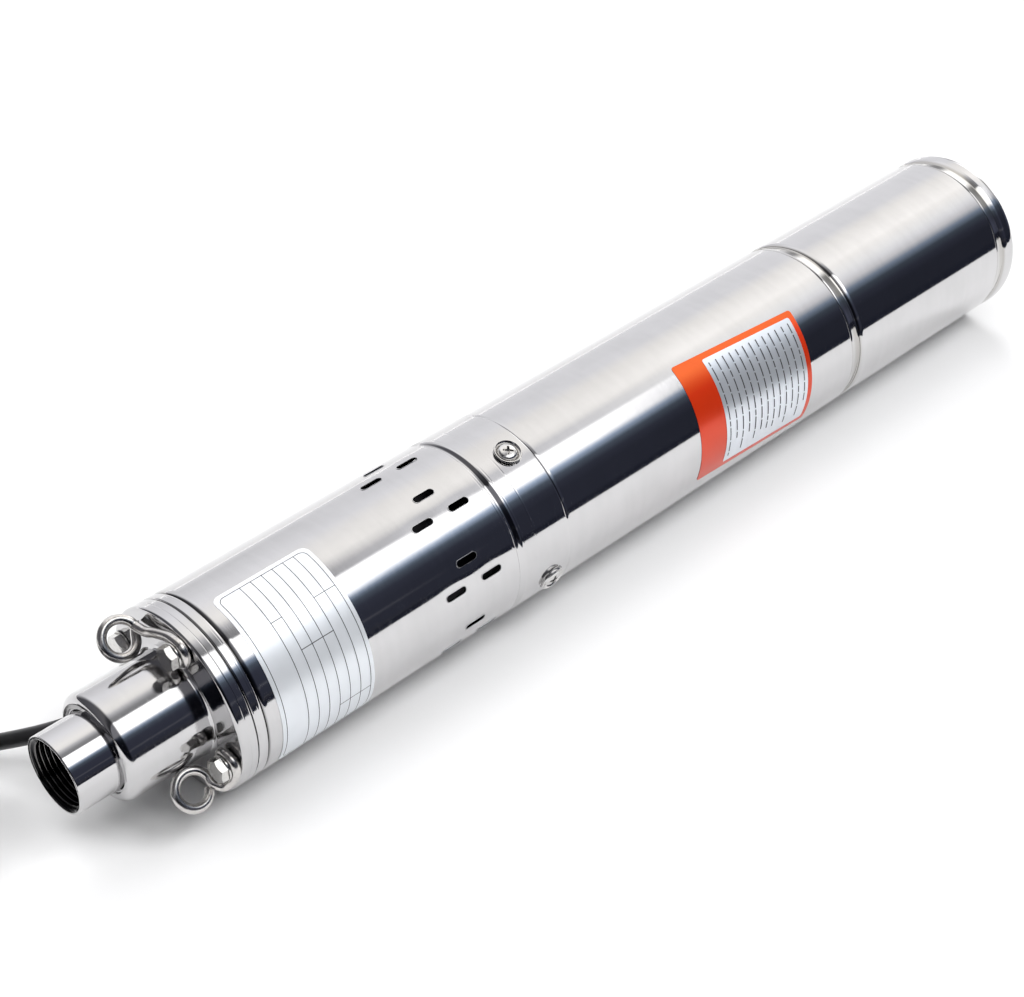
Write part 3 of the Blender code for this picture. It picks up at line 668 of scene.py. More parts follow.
def smooth_route(route, spacing):
    """Points about `spacing` apart, read from a smooth curve through the route's own points."""
    last = len(route) - 1
    knots = [0.0]
    for a, b in zip(route, route[1:]):
        knots.append(knots[-1] + sqrt((b - a).length))
    slopes = []
    for i in range(last + 1):
        low, high = max(i - 1, 0), min(i + 1, last)
        slopes.append((route[high] - route[low]) / (knots[high] - knots[low]))
    fine = []
    for i in range(last):
        width = knots[i + 1] - knots[i]
        leave, arrive = slopes[i] * width, slopes[i + 1] * width
        for k in range(40):
            t = k / 40
            bend = leave * t * (t - 1) ** 2 + arrive * t * t * (t - 1)
            fine.append(route[i].lerp(route[i + 1], smoothstep(t)) + bend)
    fine.append(route[-1].copy())
    total = route_length(fine)
    pieces = max(2, round(total / spacing))
    step = total / pieces
    read = [fine[0]]
    travelled = 0.0
    for a, b in zip(fine, fine[1:]):
        length = (b - a).length
        while len(read) < pieces and travelled + length >= step * len(read) - 1e-9:
            read.append(a.lerp(b, (step * len(read) - travelled) / length))
        travelled += length
    return [*read, fine[-1]]


def eased(route, rounds):
    """The route with its sharper bends drawn out; its ends stay where they are."""
    for _ in range(rounds):
        inner = [(a + b * 2 + c) / 4 for a, b, c in zip(route, route[1:], route[2:])]
        route = [route[0], *inner, route[-1]]
    return route


def wire(name, points, radius, material, sides=6):
    """A round wire through world points, as one open curve."""
    curve = bpy.data.curves.new(name, "CURVE")
    curve.dimensions = "3D"
    curve.bevel_depth = radius * MM
    curve.bevel_resolution = sides
    curve.use_fill_caps = True
    spline = curve.splines.new("POLY")
    spline.points.add(len(points) - 1)
    for spline_point, point in zip(spline.points, points):
        spline_point.co = (*point, 1.0)
    spline.use_smooth = True
    curve.materials.append(material)
    return show(name, curve)


# Head


def thread_profile(phase):
    """Radius of the internal thread over one pitch: round crests and roots, straight flanks."""
    wave = 0.5 - 0.5 * cos(2 * pi * phase)
    return THREAD_MINOR + (THREAD_MAJOR - THREAD_MINOR) * (0.45 * wave + 0.55 * smoothstep(wave))


def make_socket():
    """The neck, with one true helical thread inside it that runs out at its inner end."""
    start, end = span("outlet_socket")
    mouth = THREAD_MAJOR + NECK_LIP
    outside = [
        (start, mouth),
        *arc((start + NECK_LIP, NECK_RADIUS - NECK_LIP), NECK_LIP, 180, 90, 5),
        (end, NECK_RADIUS),
        (end, THREAD_MINOR),
        (THREAD_END, THREAD_MINOR),
    ]
    bm = bmesh.new()
    revolve(bm, outside, AROUND, MOUTH_FRAME, closed=False)
    turns = ceil((THREAD_END - start) / THREAD_PITCH) + 1
    rows = []
    for row in range(-ROWS_PER_PITCH, turns * ROWS_PER_PITCH):
        ring = []
        for i in range(AROUND):
            turn = (i + 0.5) / AROUND
            along = start + (row / ROWS_PER_PITCH + turn) * THREAD_PITCH
            along = min(max(along, start), THREAD_END)
            radius = thread_profile((along - start) / THREAD_PITCH - turn)
            fade = min(1.0, (THREAD_END - along) / THREAD_PITCH)
            radius = THREAD_MINOR + (radius - THREAD_MINOR) * fade
            radius = max(radius, mouth - (along - start) * 1.1)
            ring.append(bm.verts.new(MOUTH_FRAME @ spun(along, radius, turn)))
        rows.append(ring)
    for low, high in zip(rows, rows[1:]):
        for a, b, c, d in zip(low, low[1:], high[1:], high):
            bm.faces.new((a, b, c, d))
    late = rows[ROWS_PER_PITCH:]
    for low, high, next_low, next_high in zip(rows, rows[1:], late, late[1:]):
        bm.faces.new((low[-1], next_low[0], next_high[0], high[-1]))
    neck = finish_mesh("threaded_neck", bm, socket_steel(), 50.0)
    settle(neck, "polished_steel", "outlet_socket")


def make_head(steel, ring_steel):
    """The domed head, its flange and the ring behind it."""
    start, end = span("discharge_head")
    seat = NECK_RADIUS + 0.3
    back = DOME_FRONT + SHOULDER
    dome = [
        *near(start, seat, (1.6, 0), (0.9, 0.5), (0.9, 0.9), (0, 1.4)),
        *arc((back, DOME_RADIUS - SHOULDER), SHOULDER, 165, 90, 10),
        *arc((FLANGE_FACE - FLANGE_EDGE, DOME_RADIUS + FLANGE_EDGE), FLANGE_EDGE, 270, 360, 6),
        *arc((FLANGE_FACE + FLANGE_EDGE, BODY_RADIUS - FLANGE_EDGE), FLANGE_EDGE, 180, 90, 8),
        *near(66.6, BODY_RADIUS, (-0.3, 0), (0, -0.12), (0.3, 0)),
        *arc((end - 0.8, BODY_RADIUS - 0.8), 0.8, 90, 0, 4),
        (end, DOME_BORE),
        (26.3, DOME_BORE),
        (26.3, seat),
    ]
    turned("domed_head", dome, steel, "polished_steel", "discharge_head")

    start = span("clamp_ring")[0]
    end = span("pump_casing")[0] - 0.3
    ring = [
        (start, SPIGOT_BORE),
        *arc((start + 0.8, BODY_RADIUS - 0.8), 0.8, 180, 90, 4),
        *near(73.9, BODY_RADIUS, (-0.3, 0), (0, -0.08), (0.3, -0.02)),
        *arc((end - 1.0, BODY_RADIUS - 1.05), 1.0, 90, 0, 4),
        (end, SPIGOT_RADIUS),
        (80.0, SPIGOT_RADIUS),
        (80.0, SPIGOT_BORE),
    ]
    turned("seam_ring", ring, ring_steel, "polished_steel", "clamp_ring")


def chamfer_hexagon(bm, base, top):
    """Trims the outer corners of a hexagon head with a cone."""
    bmesh.ops.subdivide_edges(bm, edges=bm.edges[:], cuts=7, use_grid_fill=True)
    inverse = base.inverted()
    for vert in bm.verts:
        local = inverse @ vert.co
        past = max(0.0, hypot(local.y, local.z) - HEX_ACROSS / 2 * 0.97)
        local.x = min(local.x, top - past * 0.75)
        vert.co = base @ local


def make_bolts(steel):
    """Hexagon bolts and their washers; the first two also hold the lifting eyes."""
    for number, angle in enumerate(BOLT_ANGLES, start=1):
        base = local_frame(polar(FLANGE_FACE, BOLT_CIRCLE, angle), -ALONG, outward(angle))
        seat = EYE_WIRE + 2 * FINE_GAP if number <= 2 else FINE_GAP
        top = seat + WASHER_THICK
        hole = BOLT_SHANK + FINE_GAP
        corners = [(seat, hole), (seat, WASHER_RADIUS), (top, WASHER_RADIUS), (top, hole)]
        washer = rounded(corners, [0, 0.25, 0.25, 0])
        node = f"bolt_washer_{number}"
        turned(f"washer_{number}", washer, steel, "bright_steel", node, SMALL_AROUND, base)
        low = top + FINE_GAP
        bm = bmesh.new()
        hexagon = circle(HEX_ACROSS / sqrt(3), 6, radians(angle))
        prism(bm, hexagon, low, low + HEX_HIGH, base)
        chamfer_hexagon(bm, base, low + HEX_HIGH)
        shank = [(BOLT_END, 0.0), (BOLT_END, BOLT_SHANK), (low, BOLT_SHANK), (low, 0.0)]
        revolve(bm, shank, 32, base)
        bolt = finish_mesh(f"hex_bolt_{number}", bm, steel, 25.0)
        settle(bolt, "bright_steel", f"head_bolt_{number}")


def make_lifting_eye(name, node, steel, bolt_angle, way, leg, plane_angle, centre, turns, tip):
    """A wire eye: hooked round a bolt, led out in a leg, and closed in a round loop."""
    hook = BOLT_SHANK + FINE_GAP + EYE_WIRE / 2
    bolt = polar(FLANGE_FACE - FINE_GAP - EYE_WIRE / 2, BOLT_CIRCLE, bolt_angle)
    out, across = outward(bolt_angle), outward(bolt_angle + 90) * way
    route = []
    for step in range(9):
        swing = radians(-235 + 235 * step / 8)
        route.append(bolt + (out * cos(swing) + across * sin(swing)) * hook * MM)
    route += [polar(*place) for place in leg]
    loop = []
    for step, (along, height) in enumerate(arc(centre[:2], EYE_LOOP, *turns, EYE_STEPS)):
        loop.append((along, height, centre[2] - EYE_RISE * (0.5 - step / EYE_STEPS) * way))
    out, across = outward(plane_angle), outward(plane_angle + 90)
    for along, height, side in (*loop, *tip):
        route.append(to_world(along, 0, 0) + (out * height + across * side) * MM)
    eye = wire(name, smooth_route(route, 0.8 * MM), EYE_WIRE / 2, steel)
    settle(eye, "bright_steel", node)


# Casing, joint, motor and foot


def slot_outline(long, wide):
    """A slot with round ends, as (along, around) points about its middle."""
    return with_opposite(arc(((long - wide) / 2, 0.0), wide / 2, -90, 90, 8))


def slot_places():
    """The station and the angle of each slot."""
    for group in range(SLOT_GROUPS):
        single = SLOT_FIRST_ANGLE + group * 360 / SLOT_GROUPS
        for row, along in enumerate(SLOT_STATIONS):
            yield along, single if row == 1 else single + SLOT_OFFSET


def make_slot_edges(steel):
    """A thin rolled lip round each slot."""
    bm = bmesh.new()
    edge = slot_outline(SLOT_LONG + 0.1, SLOT_WIDE + 0.1)
    for along, angle in slot_places():
        rings = []
        for y, z in edge:
            turn = angle + degrees(z / BODY_RADIUS)
            out = Vector((y, z)).normalized()
            ring = []
            for side, lift in circle(SLOT_BEAD, 6):
                lean = degrees(out.y * side / BODY_RADIUS)
                ring.append(polar(along + y + out.x * side, BODY_RADIUS + lift, turn + lean))
            rings.append([bm.verts.new(point) for point in ring])
        tube(bm, rings, closed=True)
    settle(finish_mesh("slot_edges", bm, steel, 60.0), "polished_steel")


def make_casing(steel, rim_steel):
    """The pump casing with its punched slots, and the stator behind them."""
    start, end = span("pump_casing")
    front = ((0, -WALL), (0, -0.95), (0.3, -0.62), (0.9, -0.3), (1.7, -0.08), (2.6, 0))
    back = ((-2.4, 0), (-1.9, -0.1), (-1.4, -0.02), (-0.9, -0.03), (-0.5, -0.18), (-0.15, -0.5))
    shell = near(start, BODY_RADIUS, *front) + near(end, BODY_RADIUS, *back, (0, -WALL))
    casing = turned("slotted_casing", shell, steel, "polished_steel", "pump_casing")
    slots = bmesh.new()
    outline = slot_outline(SLOT_LONG, SLOT_WIDE)
    for along, angle in slot_places():
        prism(slots, outline, -3.0, 3.0, radial_frame(along, BODY_RADIUS, angle))
    subtract(casing, slots)
    shade_round(casing)
    make_slot_edges(rim_steel)

    start, end = span("stator_tube")
    rod = [(start, 0.0), (start, CORE_RADIUS), (end, CORE_RADIUS), (end, 0.0)]
    turned("stator", rounded(rod, [0, 0.8, 0.8, 0]), dull_steel(), "dull_steel", "stator_tube")


def make_cup(number, steel, base):
    """The dished cup that a screw sits in."""
    cup = [
        (FINE_GAP, CUP_BORE),
        *near(0, CUP_RADIUS, (FINE_GAP, -0.8), (1.6, 0), (2.4, 0), (2.6, -0.15), (2.6, -0.45)),
        (2.3, CUP_RADIUS - 0.8),
        (1.1, SCREW_HEAD_RADIUS + 0.1),
        (1.0, CUP_BORE),
    ]
    node = f"screw_cup_{number}"
    turned(f"cup_{number}", cup, steel, "bright_steel", node, SMALL_AROUND, base)


def make_screw(number, steel, base):
    """A screw with a low domed head and a cross recess."""
    head = SCREW_HEAD_RADIUS
    edge = head - 0.15
    dome = [(2.05 + 1.15 * sin(t), edge * cos(t)) for t in (0.35, 0.7, 1.05, 1.35)]
    outline = [(-5.0, 0.0), (-5.0, SCREW_SHANK), (1.2, SCREW_SHANK), (1.2, edge), (1.6, head)]
    outline += [(2.05, edge), *dome, (3.2, 0.0)]
    bm = bmesh.new()
    revolve(bm, outline, SMALL_AROUND, base)
    screw = finish_mesh(f"cross_screw_{number}", bm, steel, 40.0)
    half = [(2.5, 0.5), (0.62, 0.62), (0.5, 2.5), (-0.5, 2.5), (-0.62, 0.62), (-2.5, 0.5)]
    turn = Matrix.Rotation(radians(20.0 + 31.0 * number), 4, "X")
    cross = bmesh.new()
    prism(cross, with_opposite(half), 1.1, 5.0, base @ turn)
    subtract(screw, cross)
    settle(screw, "bright_steel", f"sleeve_screw_{number}")


def make_joint(steel, screw_steel):
    """The sleeve between pump and motor, with dished cups and cross-head screws."""
    start, end = span("joint_sleeve")
    casing_end = span("pump_casing")[1]
    rise = ((1.9, -0.85), (2.5, -0.35), (3.1, -0.1), (3.8, -0.03), (4.3, -0.14), (4.8, -0.04))
    sleeve = [
        (start, SPIGOT_BORE),
        (start, SPIGOT_RADIUS),
        *near(casing_end, SPIGOT_RADIUS, (0.5, 0), (1.2, 0.15)),
        *near(casing_end, SLEEVE_RADIUS, *rise, (7.4, 0)),
        *near(232.4, SLEEVE_RADIUS, (-0.5, 0), (0, -0.1), (0.5, 0)),
        *near(end, SLEEVE_RADIUS, (-0.5, 0), (-0.1, -0.15), (0, -0.4)),
        (end, SPIGOT_BORE),
    ]
    collar = turned("joint_collar", sleeve, steel, "polished_steel", "joint_sleeve")
    recesses = bmesh.new()
    hole = CUP_RADIUS + 0.3
    recess = [(-6.0, 0.0), (-6.0, 1.9), (0.0, 1.9), (0.0, hole), (6.0, hole), (6.0, 0.0)]
    for number, (angle, floor) in enumerate(zip(SCREW_ANGLES, CUP_FLOORS), start=1):
        base = radial_frame(SCREW_STATION, floor, angle)
        revolve(recesses, recess, SMALL_AROUND, base)
        make_cup(number, screw_steel, base)
        make_screw(number, screw_steel, base)
    subtract(collar, recesses)
    shade_round(collar)


def barrel(name, node, steel, front, back):
    """A closed length of the body; its two edges are offsets from its corners."""
    start, end = span(node)
    skin = near(start, BODY_RADIUS, *front) + near(end, BODY_RADIUS, *back)
    turned(name, [(start, 0.0), *skin, (end, 0.0)], steel, "polished_steel", node)


def make_motor(steel, foot_steel):
    """Motor housing, the ring behind it, the lower housing and the foot."""
    round_end = arc((-0.5, -0.5), 0.5, 90, 0, 3)
    core = CORE_RADIUS - BODY_RADIUS
    sleeve_end = span("joint_sleeve")[1] + 0.3 - span("motor_sleeve")[0]
    lip = ((-0.25, core), (-0.25, -0.5), (0.1, -0.3), (0.5, -0.12), (1.1, -0.03), (1.8, 0))
    front = [(0, core), *near(sleeve_end, 0, *lip)]
    barrel("motor_housing", "motor_sleeve", steel, front, round_end)
    front = ((0, -0.8), (0.3, -0.55), (0.7, -0.4), (1.2, -0.38))
    back = ((-1.0, -1.1), (-0.5, -1.08), (0, -0.9))
    barrel("recessed_ring", "mid_ring", foot_steel, front, back)
    front = ((0, -0.85), (0.7, -0.42), (1.4, -0.12), (2.0, -0.02), (2.6, 0))
    barrel("lower_body", "lower_housing", foot_steel, front, round_end)

    start, end = span("foot_cap")
    groove = ((0.1, -1.02), (0.5, -0.99), (1.2, -0.78), (2.0, -0.4), (2.7, -0.08), (3.3, 0.02))
    foot = [
        (start, 0.0),
        *near(start, BODY_RADIUS, (0, -0.9), (0.3, -0.6), (0.6, -0.46), (0.9, -0.42)),
        *near(FOOT_BEAD, BODY_RADIUS, *groove),
        *near(FOOT_BEAD, SLEEVE_RADIUS, (5.3, -0.03), (5.9, 0)),
        *near(end, SLEEVE_RADIUS, (-2.3, 0), (-1.8, -0.05)),
        *arc((end - 1.3, SLEEVE_RADIUS - 1.45), 1.3, 80, 0, 7),
        (end, 39.0),
        *arc((end - 0.9, 38.9), 0.9, 0, -60, 3),
        (end - 2.5, 37.6),
        (end - 2.5, 0.0),
    ]
    turned("foot", foot, foot_steel, "polished_steel", "foot_cap")


# Labels


def inset(low, high, margin, start=None):
    """A rectangle made smaller by a margin, or by another one at its start."""
    start = margin if start is None else start
    return (low[0] + start, low[1] + margin), (high[0] - margin, high[1] - margin)


def rounded_rectangle(low, high, corner):
    """Corner points, counter-clockwise, of a rectangle with round corners."""
    (left, bottom), (right, top) = inset(low, high, corner)
    ring = []
    for k, centre in enumerate(((right, top), (left, top), (left, bottom), (right, bottom))):
        ring += arc(centre, corner, 90 * k, 90 * k + 90)
    return ring


class Sticker:
    """A printed sticker on the round body, made of thin curved sheets in several materials."""

    def __init__(self, centre, tilt=0.0):
        self.along = centre[0]
        self.around = radians(centre[1]) * BODY_RADIUS
        self.turn = Matrix.Rotation(radians(tilt), 2)
        self.bm = bmesh.new()

    def wrap(self, point, lift):
        """A flat point (along the axis, round the body), in place on the body."""
        along, around = self.turn @ point
        angle = degrees((self.around + around) / BODY_RADIUS)
        return polar(self.along + along, BODY_RADIUS + lift, angle)

    def sheet(self, outline, lift, index, hole=None):
        """A sheet with the given outline; its flat points are bent round the body."""
        flat = bmesh.new()
        outer = [flat.verts.new((x, y, 0)) for x, y in outline]
        if hole is None:
            flat.faces.new(outer)
        else:
            tube(flat, [outer, [flat.verts.new((x, y, 0)) for x, y in hole]])
        cells = [y / SHEET_STEP for _, y in outline]
        for k in range(floor(min(cells)), ceil(max(cells)) + 1):
            everything = flat.verts[:] + flat.edges[:] + flat.faces[:]
            place = (0, k * SHEET_STEP, 0)
            bmesh.ops.bisect_plane(flat, geom=everything, plane_co=place, plane_no=(0, 1, 0))
        bmesh.ops.triangulate(flat, faces=[f for f in flat.faces if len(f.verts) > 4])
        made = {v: self.bm.verts.new(self.wrap(v.co.xy, lift)) for v in flat.verts}
        for face in flat.faces:
            self.bm.faces.new([made[v] for v in face.verts]).material_index = index
        flat.free()

    def bar(self, low, high, lift, index):
        """A printed bar between two corners."""
        self.sheet([low, (high[0], low[1]), high, (low[0], high[1])], lift, index)

    def done(self, name, slot, node, *materials):
        """Turns every face outwards and makes the sticker's piece."""
        for face in self.bm.faces:
            face.normal_update()
            middle = face.calc_center_median()
            if face.normal.dot(Vector((0, middle.y, middle.z - AXIS_HEIGHT))) < 0:
                face.normal_flip()
        settle(smooth_object(name, self.bm, materials), slot, node)


def make_rating_label():
    """The rating sticker: an empty ruled table in a thin frame."""
    label = Sticker((sum(RATING_STATIONS) / 2, sum(RATING_ANGLES) / 2))
    half_long = (RATING_STATIONS[1] - RATING_STATIONS[0]) / 2
    half_round = radians(RATING_ANGLES[1] - RATING_ANGLES[0]) * BODY_RADIUS / 2
    low, high = (-half_long, -half_round), (half_long, half_round)
    label.sheet(rounded_rectangle(low, high, 4.0), LABEL_LIFT, 0)
    rule, heading, pitch = 0.36, 11.5, 5.75
    low, high = inset(low, high, 2.0)
    hole = rounded_rectangle(*inset(low, high, rule), 3.2 - rule)
    label.sheet(rounded_rectangle(low, high, 3.2), PRINT_LIFT, 1, hole)
    edge = low[0] + heading
    rows = []
    while edge < high[0] - 4:
        label.bar((edge, low[1]), (edge + rule, high[1]), PRINT_LIFT, 1)
        rows.append(edge)
        edge += pitch
    rows.append(high[0])
    for first, last, share in ((0, 1, 0.24), (1, 4, 0.42), (4, 6, 0.24), (3, 6, 0.82)):
        across = low[1] + (high[1] - low[1]) * share
        end = rows[min(last, len(rows) - 1)]
        label.bar((rows[first], across), (end, across + rule), PRINT_LIFT, 1)
    silver = foil("rating_silver", (0.76, 0.79, 0.83), 0.5, 0.36)
    ink = foil("rating_ink", (0.06, 0.06, 0.07), 0.1, 0.45)
    label.done("rating_sticker", "label_silver", "rating_label", silver, ink)


def make_info_label():
    """The framed sticker, with broken rules on a silver panel."""
    label = Sticker(INFO_CENTRE, INFO_TILT)
    low, high = ((way * INFO_SIZE[0] / 2, way * INFO_SIZE[1] / 2) for way in (-1, 1))
    label.sheet(rounded_rectangle(low, high, 1.6), LABEL_LIFT, 0)
    low, high = inset(low, high, 3.2, 18.0)
    label.sheet(rounded_rectangle(low, high, 1.2), PRINT_LIFT, 1)
    rows, margin, rule, gap = 13, 2.7, 0.34, 0.9
    pitch = (high[0] - low[0] - 2 * margin) / (rows - 1)
    for row in range(rows):
        along = low[0] + margin + pitch * row
        top = high[1] - 3.0 - 9.0 * abs(sin(row * 1.7)) ** 2
        place = low[1] + 2.6
        dash = 0
        while place < top - 1.5:
            reach = min(top, place + 2.2 + 5.0 * abs(sin(row * 2.3 + dash * 1.9)))
            label.bar((along - rule, place), (along + rule, reach), OVERPRINT_LIFT, 2)
            place = reach + gap
            dash += 1
    # The orange label's painted light on top and painted shade below
    edges = ((0.66, 0.09, 0.003), (0.64, 0.05, 0.012))
    orange = foil("label_orange", (0.76, 0.042, 0.005), 0.5, 0.3, *edges)
    panel = foil("label_panel", (0.7, 0.735, 0.785), 0.72, 0.3)
    ink = foil("label_ink", (0.05, 0.05, 0.06), 0.1, 0.45)
    label.done("framed_sticker", "label_orange", "info_label", orange, panel, ink)


# Cable


def over_coil(x, y, height):
    """World metres from a place about the coil's middle and a height over the ground."""
    return to_world(COIL_CENTRE[0] + x, COIL_CENTRE[1] + y, height - AXIS_HEIGHT / MM)


def coil_route():
    """The wound part: rows of turns, each stepping over to the next place early in its turn."""
    middle = (COIL_COLUMNS - 1) / 2
    radii = [COIL_ACROSS / 2 + (k - middle) * COIL_PITCH for k in range(COIL_COLUMNS)]
    heights = [COIL_LIFT + (k + 0.5) * COIL_PITCH for k in range(COIL_ROWS)]
    places = [(radii[-1] + COIL_PITCH, heights[0])]
    for row, height in enumerate(heights):
        places += [(radius, height) for radius in (radii[::-1] if row % 2 == 0 else radii)]
    lead = (TAIL_LEAVES - COIL_START) / 360
    turns = len(places) - 1 + lead
    steps = round(turns * 48)
    points = []
    for step in range(steps + 1):
        travelled = turns * step / steps
        angle = radians(COIL_START + 360 * travelled)
        whole = floor(travelled - lead)
        here = places[max(whole, 0)]
        there = places[min(whole + 1, len(places) - 1)]
        blend = smoothstep(min(1.0, (travelled - lead - whole) / STEP_SHARE))
        radius, height = (a + (b - a) * blend for a, b in zip(here, there))
        points.append(over_coil(radius * cos(angle), radius * sin(angle), height))
    return points


def tail_route(start):
    """The free end: up onto the coil, then turned in to the plug that lies across it."""
    top = COIL_LIFT + COIL_ROWS * COIL_PITCH
    radius = COIL_ACROSS / 2 + (COIL_COLUMNS - 1) * COIL_PITCH / 2
    row = top - COIL_PITCH / 2
    low = top + CABLE_DIAMETER / 2 + 0.4
    high = top + PLUG_RADIUS + 0.3
    places = []
    for step in range(1, 9):
        share = step / 8
        turn = radians(TAIL_LEAVES + TAIL_CLIMB * share)
        climb = row + (low - row) * smoothstep(share)
        places.append((radius * cos(turn), radius * sin(turn), climb))
    corner = TAIL_LEAVES + TAIL_CLIMB
    pivot = radians(corner)
    inner = radius - TAIL_BEND
    for step in range(1, 13):
        share = step / 12
        turn = radians(corner + TAIL_TURN * share)
        x = inner * cos(pivot) + TAIL_BEND * cos(turn)
        y = inner * sin(pivot) + TAIL_BEND * sin(turn)
        places.append((x, y, low + (high - low) * smoothstep(share)))
    heading = Vector((-sin(turn), cos(turn), 0.0))
    places.append((x + TAIL_STRAIGHT * heading.x, y + TAIL_STRAIGHT * heading.y, high))
    points = [over_coil(*place) for place in places]
    return eased(smooth_route([start] + points, 3.0 * MM), 4), heading


def make_gland(moulded):
    """The nut that seals the cable in the flange."""
    low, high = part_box("cable_gland")
    centre = (low + high) / 2
    base = local_frame(Vector((high.x, centre.y, centre.z)), -ALONG, Vector((0, -1, 0)))
    long = (high.x - low.x) / MM
    nut = (high.z - low.z) / MM / 2
    neck = nut - 0.7
    corners = [(0.0, 0.0), (0.0, nut), (2.2, nut), (2.2, neck), (long - 1.0, neck)]
    corners += [(long, nut - 2.0), (long, 0.0)]
    outline = rounded(corners, [0, 0.3, 0.3, 0.1, 0.8, 0.4, 0])
    turned("gland", outline, moulded, "cable_rubber", "cable_gland", SMALL_AROUND, base)


def make_boot(route, moulded):
    """The ribbed sleeve that eases the cable out of its gland."""
    bm = bmesh.new()
    travelled = 0.0
    rings = []
    previous = route[0]
    fine = smooth_route(route[:12], 0.5 * MM)
    for point, following in zip(fine, fine[1:]):
        travelled += (point - previous).length / MM
        previous = point
        if travelled > BOOT_LONG:
            break
        forward = (following - point).normalized()
        side = forward.cross(UP).normalized()
        top = side.cross(forward)
        share = travelled / BOOT_LONG
        ribs = max(0.0, sin(2 * pi * BOOT_RIBS * share)) if 0.12 < share < 0.95 else 0.0
        radius = (CABLE_DIAMETER / 2) * (1.42 - 0.32 * share) - 0.35 * ribs
        ring = [point + (side * y + top * z) * radius * MM for y, z in circle(1.0, 32)]
        rings.append([bm.verts.new(place) for place in ring])
    tube(bm, rings)
    bm.faces.new(rings[0])
    bm.faces.new(rings[-1])
    boot = finish_mesh("ribbed_boot", bm, moulded, 60.0)
    return settle(boot, "cable_rubber", "cable_boot")


def make_plug(end, heading, moulded):
    """The round plug on the cable's free end, and its two pins."""
    base = local_frame(end + heading * 0.3 * MM, heading, UP.cross(heading))
    corners = [(0.0, 5.4), (22.0, 7.4), (27.0, 12.2), (33.0, 15.0), (42.0, 16.9)]
    corners += [(46.0, PLUG_RADIUS), (62.0, PLUG_RADIUS), (PLUG_LONG, 17.8)]
    skin = rounded(corners, [0, 6.0, 4.0, 5.0, 5.0, 1.5, 1.0, 0])
    profile = [(0.0, 0.0), (0.0, 5.0), *skin, (PLUG_LONG, 0.0)]
    plug = turned("round_plug", profile, moulded, "cable_rubber", "plug_body", 64, base)
    brass = wire_steel("plug_pin_metal", (0.8, 0.74, 0.6), 0.18)
    start = PLUG_LONG + FINE_GAP
    pin = [(start, 0.0), (start, PIN_RADIUS), (start + 17.0, PIN_RADIUS)]
    pin += [*arc((start + 16.6, 0.2), PIN_RADIUS - 0.2, 80, 10, 4), (start + 18.8, 0.0)]
    pieces = [plug]
    for number, offset in ((1, -PIN_SPACING / 2), (2, PIN_SPACING / 2)):
        place = base @ Matrix.Translation((0, offset, 0))
        node = f"plug_pin_{number}"
        pieces.append(turned(f"pin_{number}", pin, brass, "pin_brass", node, 32, place))
    return pieces


def make_cable():
    """The whole cable from its gland to its plug, and the tie that holds its coil."""
    black = rubber("cable_sheath")
    moulded = rubber("moulded_black", gloss=0.45)
    make_gland(moulded)

    opening = eased(smooth_route([to_world(*place) for place in CABLE_ROUTE], 3.0 * MM), 6)
    wound = coil_route()
    tail, heading = tail_route(wound[-1])
    route = opening + wound + tail[1:]
    cable = wire("power_lead", route, CABLE_DIAMETER / 2, black, sides=5)
    settle(cable, "cable_rubber", "power_cable", "cable_coil", "cable_tail")

    boot = make_boot(opening, moulded)
    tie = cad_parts["coil_tie"]
    tie.data.materials.clear()
    tie.data.materials.append(moulded)
    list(make_plug(tail[-1], heading, moulded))


# Studio


def make_floor():
    """A plain white floor that glows more the farther it lies from the pump, as painted light, and
    a plain white surround.
    """
    bm = bmesh.new()
    bmesh.ops.create_grid(bm, x_segments=1, y_segments=1, size=FLOOR_HALF)
    n = new_material("floor_white")
    spot = n.spot()
    away = n.add("ShaderNodeVectorMath", i0=spot)
    away.operation = "LENGTH"
    far = away.outputs["Value"]
    material = n.finish(
        Base_Color=n.mix(n.noise(spot, 3.0, 2.0), (0.742, 0.75, 0.763), (0.75, 0.757, 0.77)),
        Roughness=0.9,
        Metallic=0.0,
        Emission_Color=WHITE,
        # Painted light: the floor glows, not at all near the pump and more farther away
        Emission_Strength=n.plus(n.band(far, 0.9, 2.3, 0.0, 0.76), n.band(far, 3.0, 6.0, 0.0, 0.3)),
        Specular_IOR_Level=0.0,
    )
    material.cycles.emission_sampling = "NONE"
    finish_mesh("floor", bm, material)

    bm = bmesh.new()
    bmesh.ops.create_icosphere(bm, subdivisions=4, radius=FLOOR_HALF - 1.0)
    surround = finish_mesh("surround", bm, glowing("surround_white", WHITE))
    surround.visible_diffuse = surround.visible_glossy = surround.visible_shadow = False
    surround.visible_transmission = surround.visible_volume_scatter = False

    # A dark sheet just over the floor in front of the pump, seen only in the steel: a painted dark
    # reflection.
    half = FLOOR_HALF
    edge = [(0.03, -0.54), (0.19, -0.6), (0.3, -0.46), (0.45, -0.455), (0.6, -0.36), (0.75, -0.32)]
    corners = [(-half, -0.58), *edge, (half, -0.32), (half, -half), (-half, -half)]
    bm = bmesh.new()
    bm.faces.new([bm.verts.new((x, y, 0.5 * MM)) for x, y in corners])
    card = finish_mesh("mirrored_dark_sheet", bm, glowing("painted_dark_reflection", (0.0195, 0.022, 0.036)))
    card.visible_camera = card.visible_diffuse = False
    card.visible_transmission = card.visible_shadow = False


